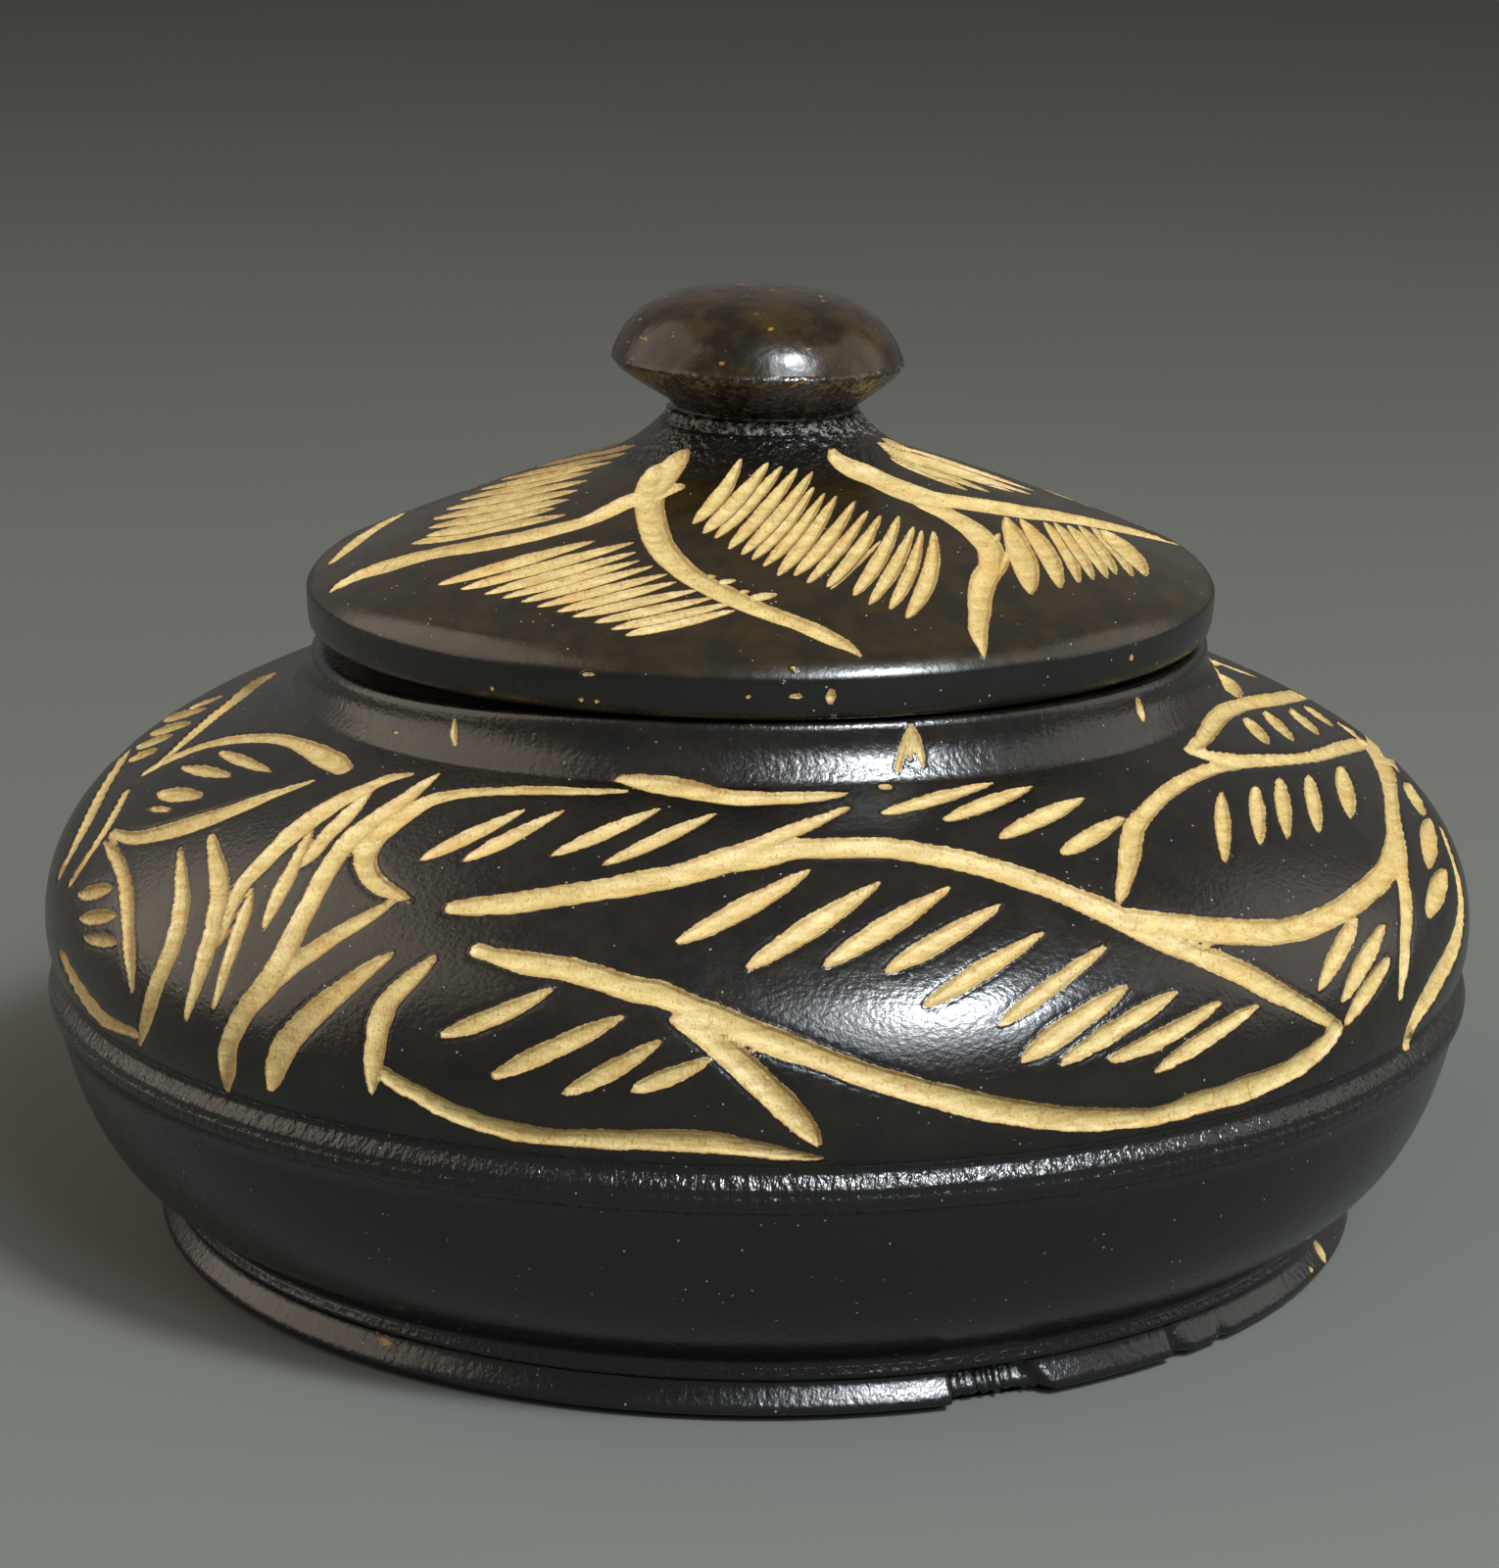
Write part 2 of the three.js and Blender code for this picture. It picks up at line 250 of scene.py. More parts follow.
# Short leaf strokes of the lid
LID_BLADES = {
    "left_upper_fan": (
        (420, 554, 578, 525, 10, 0), (435, 546, 568, 518, 9.2, 0), (437, 538, 582, 509, 9.2, 0),
        (442, 529, 590, 500, 9.6, 0), (455, 519, 600, 490, 9.6, 0), (470, 509, 605, 481, 9.2, 0),
        (490, 499, 625, 471, 9.2, 0), (510, 489, 640, 462, 9.2, 0), (530, 479, 650, 454, 9.2, 0),
        (560, 468, 640, 450, 8.5, 0)),
    "left_lower_fan": (
        (447, 596, 609, 551, 11, 0), (470, 601, 648, 553, 11, 0), (494, 606, 650, 563, 9.6, 0),
        (512, 610, 655, 571, 9.6, 0), (532, 614, 668, 577, 9.6, 0), (548, 619, 683, 585, 9.6, 0),
        (568, 624, 692, 593, 9.6, 0), (584, 629, 715, 601, 9.6, 0), (606, 635, 730, 609, 9.6, 0),
        (622, 642, 750, 615, 9.6, 0), (638, 648, 752, 622, 10, 0)),
    "middle_fan": (
        (708, 534, 757, 466, 16, 0.06), (718, 544, 785, 470, 16, 0.03), (730, 549, 799, 474, 14, 0.02),
        (744, 560, 815, 476, 15, 0.02), (757, 566, 830, 480, 15, 0.03),
        (768, 571, 831, 496, 14, 0.03), (779, 578, 842, 502, 13, 0.04), (794, 587, 854, 505, 16, 0.03),
        (811, 587, 873, 510, 15, 0.04), (824, 595, 886, 520, 13, 0.03), (844, 599, 899, 525, 15, 0.04),
        (846, 603, 902, 549, 5, 0), (871, 608, 918, 525, 16, 0.05), (887, 617, 933, 536, 15, 0.04),
        (908, 622, 941, 540, 14, 0.06), (925, 631, 953, 541, 19, 0.10)),
    "right_fan": (
        (1052, 606, 1027, 527, 27, 0.04), (1082, 600, 1042, 529, 19, 0.07), (1101, 595, 1066, 532, 14, 0.07),
        (1116, 592, 1076, 532, 12, 0.05), (1130, 590, 1090, 535, 12, 0.05),
        (1139, 586, 1101, 535, 11, 0.05), (1156, 588, 1115, 537, 12, 0.05), (1169, 587, 1127, 541, 16, 0.06)),
    "far_fan": (
        (909, 467, 987, 500, 8, 0), (906, 462, 1010, 502, 9, 0), (900, 457, 1035, 502, 10, 0),
        (895, 452, 1052, 504, 12, 0), (900, 448, 1057, 501, 12, 0)),
    "barbs": (
        (734, 594, 751, 592, 6, 0), (754, 604, 765, 603, 4, 0), (764, 611, 793, 606, 8, 0),
        (720, 587, 732, 588, 4, 0), (651, 534, 669, 556, 8, 0), (1012, 556, 1021, 543, 8, 0),
        (1018, 590, 1033, 557, 10, 0)),
}

# Chips, specks and rubbed spots of the bowl and the lid where the paint is gone
BOWL_NICKS = {
    "collar_chip_left": ((930, 744, 4), (925, 758, 8), (920, 774, 9), (916, 789, 7)),
    "collar_chip_middle": ((930, 746, 5), (930, 762, 8), (929, 778, 4)),
    "collar_chip_right": ((930, 744, 4), (935, 756, 8), (939, 772, 8), (942, 783, 6)),
    "collar_left_sliver": ((464, 727, 3), (463, 744, 8), (465, 760, 4)),
    "collar_right_sliver": ((1161, 713, 4), (1164, 723, 8), (1167, 733, 4)),
    "collar_speck_one": ((403, 740, 4), (405, 741, 4)),
    "collar_speck_two": ((545, 753, 4), (547, 753, 4)),
    "crease_spot": ((900, 806, 5), (906, 806, 5)),
    "foot_left_crescent": ((385, 1362, 5), (392, 1370, 8), (403, 1375, 5)),
    "foot_right_chip": ((1344, 1270, 7), (1348, 1277, 10), (1351, 1284, 6)),
    "foot_right_spot": ((1337, 1294, 4), (1339, 1296, 4)),
    "dust_one": ((1307, 1218, 4), (1309, 1220, 4)),
    "dust_two": ((1384, 1169, 4), (1386, 1171, 4)),
    "dust_three": ((1384, 1187, 4), (1388, 1200, 3)),
}
LID_NICKS = {
    "rim_blob": ((808, 708, 9), (815, 709, 10)),
    "rim_drip": ((848, 705, 12), (848, 716, 11)),
    "rim_drop": ((850, 727, 5), (852, 729, 5)),
    "rim_right_blob": ((1155, 665, 5), (1155, 670, 5)),
    "rim_speck_one": ((809, 681, 4), (811, 683, 4)),
    "rim_speck_two": ((798, 698, 4), (800, 700, 4)),
    "rim_speck_three": ((763, 711, 4), (765, 713, 4)),
    "rim_left_one": ((503, 704, 5), (505, 706, 4)),
    "rim_left_two": ((528, 692, 3), (530, 693, 3)),
    "rim_left_three": ((593, 714, 5), (595, 716, 4)),
    "rim_left_four": ((609, 716, 5), (612, 718, 4)),
    "rim_left_five": ((657, 704, 4), (659, 704, 3)),
    "rim_left_six": ((671, 696, 3), (675, 700, 5)),
    "rim_top_rub": ((595, 688, 3), (600, 688, 4), (607, 688, 3)),
}

# Places where the foot's lower bead is broken away: from and to in degrees, and depth. The slant is how many
# degrees a place narrows with each millimetre of height.
FOOT_NOTCHES = ((17.0, 27.3, 1.7), (39.5, 42.6, 0.7), (45.5, 48.0, 0.5), (203.0, 206.5, 0.8))
NOTCH_SLANT = 0.8
NOTCH_START_DEGREES = 0.7
NOTCH_END_DEGREES = 1.2
NOTCH_ROUGHNESS = 0.18
NOTCH_ROUGH_DEGREES = 20.0
NOTCH_ROUGH_KNOTS = 90
NOTCH_SEED = 11

# How the collar warped and sank on its -X side as the wood dried
COLLAR_WARP = 0.4
WARP_START_HEIGHT = 40.0
COLLAR_DROP = 1.1
DROP_START_HEIGHT = 47.5
DROP_SIDE = (0.25, 0.95)

# How far the knob leans and the lid sits off the bowl's axis, the heights over which that grows, for the
# knob above its seat, and the lumps of paint round the knob's foot
KNOB_SEAT_HEIGHT = 74.2
KNOB_LEAN_DEGREES = 1.6
KNOB_LEAN_HEIGHTS = (0.0, 2.0)
KNOB_HEAD_SHIFT = -0.54
HEAD_SHIFT_HEIGHTS = (1.0, 5.0)
KNOB_SHIFT = 0.3
LID_SHIFT = 0.12
LID_SHIFT_HEIGHTS = (55.0, 58.0)
CLOT_LUMP = 0.3
CLOT_WAVES = 6
CLOT_SEED = 7

# Heights between which the lid's paint turns black and clotted towards the knob
CLOT_START_HEIGHT = 69.8
CLOT_FULL_HEIGHT = 72.2

# Outline of the bowl as radius and height, from the middle of its underside up the outside and down into the
# hollow. A curve holds the control points of a Bezier stretch.
BELLY_SIDE = (66.1, 29.5)
COLLAR_ROOT = (43.1, 50.5)
HOLLOW_SIDE = (60.6, 29.5)
BOWL_UNDERSIDE = (0.0, 2.0)
BOWL_FLOOR = (0.0, 8.0)
FOOT_RECESS_POINTS = (
    (0.5, 2.0), (20.0, 2.0), (44.6, 2.0), (45.2, 1.8), (46.7, 0.2), (47.2, 0.0), (53.8, 0.0),
)
FOOT_POINTS = (
    (54.3, 0.0), (55.5, 0.2), (56.2, 0.6), (56.3, 0.95), (56.0, 1.45), (55.65, 1.95), (55.3, 2.45),
    (55.0, 2.9),
)
RIDGE_POINTS = ((55.05, 3.15), (55.5, 3.4), (55.45, 3.8), (55.15, 4.25))
FILLET_POINTS = ((55.2, 4.7), (55.6, 5.3), (56.3, 6.0), (57.4, 6.6))
BAND_CURVE = ((57.4, 6.6), (63.38, 10.08), (65.4, 21.7))
BEAD_POINTS = (
    (65.4, 21.7), (65.75, 21.85), (65.98, 22.3), (66.05, 22.8), (66.05, 23.1), (65.85, 23.35), (65.93, 23.55),
    (65.85, 23.9), (65.5, 24.4), (65.15, 24.85), (65.1, 25.1), (65.2, 25.45),
)
BELLY_CURVE = ((65.3, 25.65), (66.1, 27.0), BELLY_SIDE)
SHOULDER_CURVE = (BELLY_SIDE, (66.1, 42.45), (48.91, 47.63), COLLAR_ROOT)
COLLAR_POINTS = (
    COLLAR_ROOT, (42.75, 51.0), (42.4, 51.5), (42.05, 52.0), (41.75, 52.5), (41.55, 53.0), (41.42, 53.5),
    (41.34, 54.0), (41.3, 54.6),
)
LIP_POINTS = ((41.3, 54.6), (41.15, 55.0), (40.8, 55.25), (40.2, 55.3))
MOUTH_POINTS = ((37.3, 55.3), (36.8, 55.15), (36.5, 54.7), (36.5, 50.0), (36.5, 46.2))
HOLLOW_TOP_CURVE = ((36.5, 45.8), (54.8, 43.5), (60.6, 38.5), HOLLOW_SIDE)
HOLLOW_LOW_CURVE = (HOLLOW_SIDE, (60.6, 15.3), (37.6, 8.0), (1.0, 8.0))
BOWL_OUTSIDE = ("foot", "ridge", "fillet", "band", "bead", "belly", "collar", "lip")

# Outline of the lid, from the middle of its hollow out to the spigot, round the rim and over the dome
LID_HOLLOW_TOP = (0.0, 63.1)
LID_HOLLOW_CURVE = ((1.0, 63.1), (12.3, 63.1), (29.8, 59.5), (32.4, 55.9))
SPIGOT_POINTS = (
    (32.4, 55.6), (32.4, 51.5), (32.7, 51.2), (35.7, 51.2), (36.0, 51.5), (36.0, 55.6), (36.3, 55.9),
    (40.6, 55.9),
)
RIM_POINTS = (
    (40.9, 55.9), (41.25, 56.0), (41.45, 56.3), (41.58, 57.0), (41.66, 58.0), (41.68, 59.2), (41.64, 59.5),
)
CHAMFER_POINTS = ((41.5, 59.78), (41.25, 60.12), (41.05, 60.38), (40.75, 60.68), (40.2, 61.1))
DOME_CURVE = ((40.2, 61.1), (32.54, 64.45), (23.4, 68.0), (15.0, 70.6))
CONE_CURVE = ((15.0, 70.6), (12.28, 71.42), (9.4, 74.2))
SEAT_POINTS = ((9.0, 74.25), (4.6, 74.2), (4.3, 74.0), (4.3, 69.3), (4.0, 69.1), (1.0, 69.1))
LID_HOLE_FLOOR = (0.0, 69.1)
LID_OUTSIDE = ("rim", "chamfer", "dome", "cone")

# Outline of the knob, from the bottom of its tenon up
TENON_END = (0.0, 69.8)
TENON_POINTS = ((1.0, 69.8), (3.8, 69.8), (4.0, 70.0), (4.0, 74.3))
KNOB_FOOT_CURVE = ((10.6, 72.9), (9.8, 73.7), (9.1, 74.3), (8.8, 75.1))
KNOB_UNDER_CURVE = ((8.75, 75.3), (6.31, 75.1), (13.4, 78.31), (13.35, 79.8))
KNOB_CROWN_CURVE = ((13.35, 79.8), (12.3, 82.9), (10.3, 86.25), (0.6, 86.25))
KNOB_TOP = (0.0, 86.25)

# Rough and blackened stretches: how strongly the tool's chatter and the black of the band show on each. On
# the bowl the black is painted shade on the lower stretches; the lid's rim keeps black paint without the
# dome's painted warm reflection, and by the knob the black is clotted paint
BOWL_CHATTER = {"foot": 0.7, "ridge": 1.6, "bead": 2.4, "collar": 0.5, "lip": 0.4}
BOWL_PAINTED_SHADE = {"band": 1.0, "foot": 1.0, "ridge": 1.0, "fillet": 1.0, "bead": 0.8}
LID_CHATTER = {"rim": 0.25, "chamfer": 0.12}
LID_BLACK = {"rim": 0.9}
CLOT_CHATTER = 2.4
CLOT_BLACK = 0.85

# Lamps: direction from the bowl, distance and size in metres, power in watts, and tint. A wide soft lamp
# lies round the small key one, and two larger ones light the sides.
LAMPS = {
    "key": ((0.40, -0.56, 0.70), 0.9, 0.15, 6.5, (0.90, 0.96, 1.0)),
    "glow": ((0.40, -0.64, 0.62), 0.98, 0.5, 4.9, (0.83, 0.92, 1.0)),
    "warm_side": ((-0.85, 0.1, 0.5), 1.0, 1.1, 4.3, (1.0, 0.84, 0.66)),
    "right_side": ((0.9, 0.15, 0.4), 1.0, 0.8, 1.5, (1.0, 0.93, 0.84)),
}
LAMP_AIM_HEIGHT = 0.04
SURROUND_TINT = (1.0, 0.98, 0.94, 1.0)
SURROUND_STRENGTH = 0.2

# Floor: radii of its rings in metres, how many sides it has, and how far it lies under the bowl
FLOOR_REACH = (0.3, 1.5, 8.0)
FLOOR_SIDES = 64
FLOOR_DROP = 0.0002


def smooth_step(value, low, high):
    """0 below low, 1 above high, with a soft S between them."""
    share = np.clip((value - low) / (high - low), 0.0, 1.0)
    return share * share * (3.0 - 2.0 * share)


def bezier(points, count):
    """Bezier curve of any order: neighbouring control points are mixed until one is left."""
    control = np.array(points, dtype=float)
    share = np.linspace(0.0, 1.0, count + 1)[:, None, None]
    level = np.repeat(control[None], count + 1, axis=0)
    while level.shape[1] > 1:
        level = level[:, :-1] * (1.0 - share) + level[:, 1:] * share
    return level[:, 0]


def azimuths(count):
    """Angles round the axis, closer together in front: the even angle less a share of its sine."""
    even = np.arange(count) / count * 2.0 * np.pi
    return even - FRONT_CROWDING * np.sin(even)


def turned_by(first, second, angle):
    """Two square directions, turned by an angle in their own plane, the first towards the second."""
    return (
        first * np.cos(angle) + second * np.sin(angle),
        second * np.cos(angle) - first * np.sin(angle),
    )


def camera_axes():
    """Place of the camera, and its forward, right and up directions: aimed, yawed, pitched and rolled."""
    target = np.array([0.0, 0.0, AIM_HEIGHT])
    back = np.array([0.0, -np.cos(CAMERA_ELEVATION), np.sin(CAMERA_ELEVATION)])
    place = target + CAMERA_DISTANCE * back
    forward = (target - place) / CAMERA_DISTANCE
    right = np.array([1.0, 0.0, 0.0])
    up = np.cross(right, forward)
    yaw = np.arctan((AIM_PIXEL[0] - IMAGE_WIDTH / 2) / FOCAL_PIXELS)
    pitch = np.arctan((AIM_PIXEL[1] - IMAGE_HEIGHT / 2) / FOCAL_PIXELS)
    right, forward = turned_by(right, forward, yaw)
    forward, up = turned_by(forward, up, pitch)
    right, up = turned_by(right, up, CAMERA_ROLL)
    return place, forward, right, up


CAMERA_PLACE, CAMERA_FORWARD, CAMERA_RIGHT, CAMERA_UP = camera_axes()


def touched(pixels, outline, shift):
    """Where the camera's ray through each pixel first meets the turned outline, as azimuth, height, distance.

    The ray is sampled in small steps, and the first step inside the outline is shared with the one before
    it. A ray that passes by gives its nearest sample. The outline's axis is shifted along X.
    """
    across = (pixels[:, 0] - IMAGE_WIDTH / 2) / FOCAL_PIXELS
    down = (pixels[:, 1] - IMAGE_HEIGHT / 2) / FOCAL_PIXELS
    rays = CAMERA_FORWARD + across[:, None] * CAMERA_RIGHT - down[:, None] * CAMERA_UP
    rays /= np.linalg.norm(rays, axis=1)[:, None]
    steps = np.linspace(RAY_NEAREST, RAY_FARTHEST, RAY_SAMPLES)
    samples = CAMERA_PLACE + steps[None, :, None] * rays[:, None]
    limit = np.interp(samples[..., 2], outline[:, 1], outline[:, 0], left=0.0, right=0.0)
    gap = np.hypot(samples[..., 0] - shift, samples[..., 1]) - limit
    inside = gap < 0.0
    first = np.argmax(inside, axis=1)
    missed = ~inside.any(axis=1)
    first[missed] = np.argmin(gap[missed], axis=1)
    row = np.arange(len(pixels))
    before = np.maximum(first - 1, 0)
    share = gap[row, before] / np.where(missed, 1.0, gap[row, before] - gap[row, first])
    reach = np.where(missed, steps[first], steps[before] + share * (steps[first] - steps[before]))
    hit = CAMERA_PLACE + reach[:, None] * rays
    return np.arctan2(hit[:, 0] - shift, -hit[:, 1]), hit[:, 2], reach


def on_outline(azimuth, height, outline):
    """Points of the turned outline at those azimuths and heights."""
    radius = np.interp(height, outline[:, 1], outline[:, 0])
    return np.stack([radius * np.sin(azimuth), -radius * np.cos(azimuth), height], axis=-1)


def spline(points):
    """Catmull-Rom curve through points of x, y and width, with a point at about every stroke step."""
    given = np.array(points, dtype=float)
    padded = np.vstack([2 * given[0] - given[1], given, 2 * given[-1] - given[-2]])
    pieces = []
    for a, b, c, d in zip(padded, padded[1:], padded[2:], padded[3:]):
        count = max(2, int(np.hypot(*(c - b)[:2]) / STROKE_STEP_PIXELS))
        t = np.linspace(0.0, 1.0, count, endpoint=False)[:, None]
        pieces.append(0.5 * (
            2 * b + (c - a) * t + (2 * a - 5 * b + 4 * c - d) * t ** 2 + (3 * b - a - 3 * c + d) * t ** 3
        ))
    line = np.vstack(pieces + [given[-1:]])
    line[:, 2] = np.maximum(line[:, 2], THINNEST_PIXELS)
    return line


def blade(x0, y0, x1, y1, width, bow):
    """Leaf-shaped stroke: a bowed line whose width is a power of the sine, fuller towards its first end."""
    count = max(6, int(np.hypot(x1 - x0, y1 - y0) / STROKE_STEP_PIXELS))
    t = np.linspace(BLADE_END_SHARE, 1 - BLADE_END_SHARE, count + 1)
    hump = 4 * t * (1 - t) * bow
    x = x0 + (x1 - x0) * t - (y1 - y0) * hump
    y = y0 + (y1 - y0) * t + (x1 - x0) * hump
    return np.stack([x, y, width * np.sin(np.pi * t ** BLADE_FULLNESS) ** BLADE_BLUNTNESS], axis=1)


def laid_stroke(line, outline, shift, widest, chance):
    """A stroke laid on the turned surface: azimuth, height and half width in mm at each of its points.

    The half width is half the distance on the surface between the two edges, square to the stroke's course,
    and it wavers a little. It stays between two shares of the width that the stroke has face on.
    """
    along = np.gradient(line[:, :2], axis=0)
    along /= np.linalg.norm(along, axis=1)[:, None]
    across = np.stack([-along[:, 1], along[:, 0]], axis=1) * line[:, 2:] / 2
    azimuth, height, reach = touched(line[:, :2], outline, shift)
    left = on_outline(*touched(line[:, :2] - across, outline, shift)[:2], outline)
    right = on_outline(*touched(line[:, :2] + across, outline, shift)[:2], outline)
    face_on = line[:, 2] / 2 * reach / FOCAL_PIXELS
    course = np.gradient(on_outline(azimuth, height, outline), axis=0)
    course /= np.maximum(np.linalg.norm(course, axis=1), 1e-6)[:, None]
    half = np.linalg.norm(np.cross(right - left, course), axis=1) / 2
    half = np.clip(half, face_on * NARROWEST_SHARE, face_on * widest)
    knots = chance.normal(0, WIDTH_WAVER, len(half) // WAVER_STEP + 2)
    wave = np.interp(np.arange(len(half)) / WAVER_STEP, np.arange(len(knots)), knots)
    return azimuth, height, half * (1.0 + wave)


def all_strokes(veins, blades, nicks, outline, shift, widest, seed):
    """Every stroke as (points in mm, half widths, depths, layer), and its twin on the far side.

    Leaf strokes alternate between layers 0 and 1, so that the thin paint between two of them stays. Long
    strokes and nicks are in layer 2. A gouge stroke whose twin is out of the camera's sight is cut again half
    a turn on.
    """
    chance = np.random.default_rng(seed)
    lines = [(spline(points), 2, GOUGE_DEPTH_SHARE) for points in veins.values()]
    for group in blades.values():
        lines += [(blade(*one), index % 2, GOUGE_DEPTH_SHARE) for index, one in enumerate(group)]
    lines += [(spline(points), 2, NICK_DEPTH_SHARE) for points in nicks.values()]
    strokes = []
    for line, layer, share in lines:
        azimuth, height, half = laid_stroke(line, outline, shift, widest, chance)
        places = [(azimuth, height, half)]
        in_reach = np.abs(azimuth).max() < np.radians(TWIN_REACH_DEGREES)
        if (in_reach or height.max() < TWIN_LOW_HEIGHT) and share == GOUGE_DEPTH_SHARE:
            lift = chance.normal(0, TWIN_LIFT)
            places.append((azimuth + np.pi, height + lift, half * chance.uniform(*TWIN_WIDTHS)))
        for angle, level, wide in places:
            depth = np.minimum(wide * share, GOUGE_DEEPEST)
            strokes.append((on_outline(angle, level, outline), wide, depth, layer))
    return strokes


def carved(points, strokes):
    """How deep each point is cut, and its distance to the nearest stroke's edge in each layer.

    For each piece of a stroke, the distance is the point's distance to the line less the half width there.
    The cut is round in section: the depth times a power of (1 - (distance / half width) squared).
    """
    depth = np.zeros(len(points))
    layers = np.full((3, len(points)), FAR_FROM_CUTS)
    for line, half, deep, layer in strokes:
        margin = half.max() + CUT_REACH
        low = line.min(axis=0) - margin
        high = line.max(axis=0) + margin
        near = np.flatnonzero(np.all((points > low) & (points < high), axis=1))
        if not len(near):
            continue
        spot = points[near]
        best = np.full(len(near), FAR_FROM_CUTS)
        cut = np.zeros(len(near))
        lengths = np.linalg.norm(np.diff(line, axis=0), axis=1)
        for index, length in enumerate(lengths):
            a = line[index]
            edge = line[index + 1] - a
            t = np.clip((spot - a) @ edge / max(length * length, 1e-9), 0.0, 1.0)
            away = np.linalg.norm(spot - a - t[:, None] * edge, axis=1)
            wide = half[index] + t * (half[index + 1] - half[index])
            deeper = deep[index] + t * (deep[index + 1] - deep[index])
            signed = away - wide
            closer = signed < best
            best = np.where(closer, signed, best)
            section = np.clip(1.0 - (away / np.maximum(wide, NARROWEST_CUT)) ** 2, 0.0, 1.0) ** CUT_ROUNDNESS
            cut = np.where(closer, deeper * section, cut)
        depth[near] = np.maximum(depth[near], cut)
        layers[layer, near] = np.minimum(layers[layer, near], best)
    return depth, layers


def ring_faces(counts):
    """Faces between rings of points, as corner rows and corner columns, three or four to a face.

    Two rings of one count are joined by four-sided faces, a ring and a coarser one by a fan to each coarse
    point, and a ring and a single point by triangles.
    """
    quads = []
    triangles = []

    def corner(row, column):
        return np.stack([np.full(len(column), row), column], axis=1)

    def face(*corners):
        return np.stack(corners, axis=1)

    for row, (low, high) in enumerate(zip(counts, counts[1:])):
        k = np.arange(max(low, high))
        above = row + 1
        if low == high:
            quads.append(face(corner(row, k), corner(row, k + 1), corner(above, k + 1), corner(above, k)))
            continue
        fewer = min(low, high)
        ratio = max(low, high) // fewer
        j = np.arange(fewer)
        middle = j * ratio + ratio // 2
        coarse = k // ratio + (k % ratio >= ratio // 2)
        if fewer == 1:
            coarse = k * 0
        if low > high:
            triangles.append(face(corner(row, k), corner(row, k + 1), corner(above, coarse)))
            if fewer > 1:
                triangles.append(face(corner(row, middle), corner(above, j + 1), corner(above, j)))
        else:
            triangles.append(face(corner(row, coarse), corner(above, k + 1), corner(above, k)))
            if fewer > 1:
                triangles.append(face(corner(row, j), corner(row, j + 1), corner(above, middle)))
    return np.concatenate(quads), np.concatenate(triangles)


def turned_piece(name, rings, values, material):
    """A closed turned piece from rings of points in mm, with a value on each point for each attribute.

    Its map runs once round the axis from left to right, and along the outline from bottom to top.
    """
    counts = [len(ring) for ring in rings]
    starts = np.concatenate([[0], np.cumsum(counts)[:-1]])
    points = np.concatenate(rings)
    quads, triangles = ring_faces(counts)
    corners = np.concatenate([quads.reshape(-1, 2), triangles.reshape(-1, 2)])
    wide = np.array(counts)[corners[:, 0]]
    indices = starts[corners[:, 0]] + corners[:, 1] % wide
    totals = np.concatenate([np.full(len(quads), 4), np.full(len(triangles), 3)])
    mesh = bpy.data.meshes.new(name)
    mesh.vertices.add(len(points))
    mesh.vertices.foreach_set("co", (points * MM).ravel())
    mesh.loops.add(len(indices))
    mesh.loops.foreach_set("vertex_index", indices)
    mesh.polygons.add(len(totals))
    mesh.polygons.foreach_set("loop_start", np.concatenate([[0], np.cumsum(totals)[:-1]]))
    mesh.polygons.foreach_set("loop_total", totals)
    mesh.update(calc_edges=True)
    steps = np.array([
        np.linalg.norm(after.mean(axis=0) - before.mean(axis=0))
        + abs(np.hypot(*after[0, :2]) - np.hypot(*before[0, :2]))
        for before, after in zip(rings, rings[1:])
    ])
    travelled = np.concatenate([[0.0], np.cumsum(steps)])
    rise = travelled / travelled[-1]
    turn = corners[:, 1] / wide
    unwrapped = mesh.uv_layers.new(name="OFBake")
    unwrapped.uv.foreach_set("vector", np.stack([turn, rise[corners[:, 0]]], axis=1).ravel())
    for label, numbers in values.items():
        attribute = mesh.attributes.new(label, "FLOAT", "POINT")
        attribute.data.foreach_set("value", numbers)
    mesh.polygons.foreach_set("use_smooth", np.ones(len(totals), dtype=bool))
    mesh.validate()
    mesh.materials.append(material)
    piece = bpy.data.objects.new(name, mesh)
    bpy.context.scene.collection.objects.link(piece)
    print(name, "triangles", len(quads) * 2 + len(triangles))
    return piece


def swept(outline, counts):
    """Rings of the turned outline: each outline point carried round the axis at its own count of columns."""
    rings = []
    for (radius, height), count in zip(outline, counts):
        if count == 1:
            rings.append(np.array([[0.0, 0.0, height]]))
            continue
        angle = azimuths(count)
        level = np.full(count, height)
        rings.append(np.stack([radius * np.sin(angle), -radius * np.cos(angle), level], axis=1))
    return rings


def chained(stretches):
    """One outline from stretches that follow one another, with each point's count of columns and its label.

    A point that repeats the one before it is left out.
    """
    points = []
    counts = []
    labels = []
    for curve, count, label in stretches:
        for radius, height in np.atleast_2d(curve):
            if points and np.hypot(points[-1][0] - radius, points[-1][1] - height) < 1e-6:
                continue
            points.append((radius, height))
            counts.append(count)
            labels.append(label)
    return np.array(points), counts, labels


def stretch_of(labels, wanted):
    """First and one past the last of the outline's points with those labels, which follow one another."""
    found = [index for index, label in enumerate(labels) if label in wanted]
    return found[0], found[-1] + 1


def rising(outline):
    """The outline's points, thinned so that their heights only rise."""
    keep = [0]
    for index in range(1, len(outline)):
        if outline[index, 1] > outline[keep[-1], 1] + 1e-4:
            keep.append(index)
    return outline[keep]


def azimuth_of(ring):
    """Azimuth of each point of a ring, from the front towards +X."""
    return np.arctan2(ring[:, 0], -ring[:, 1])


def draw_in(ring, loss):
    """Moves each point of a ring towards the axis by its loss in millimetres."""
    radius = np.hypot(ring[:, 0], ring[:, 1])
    ring[:, :2] *= (1.0 - loss / radius)[:, None]


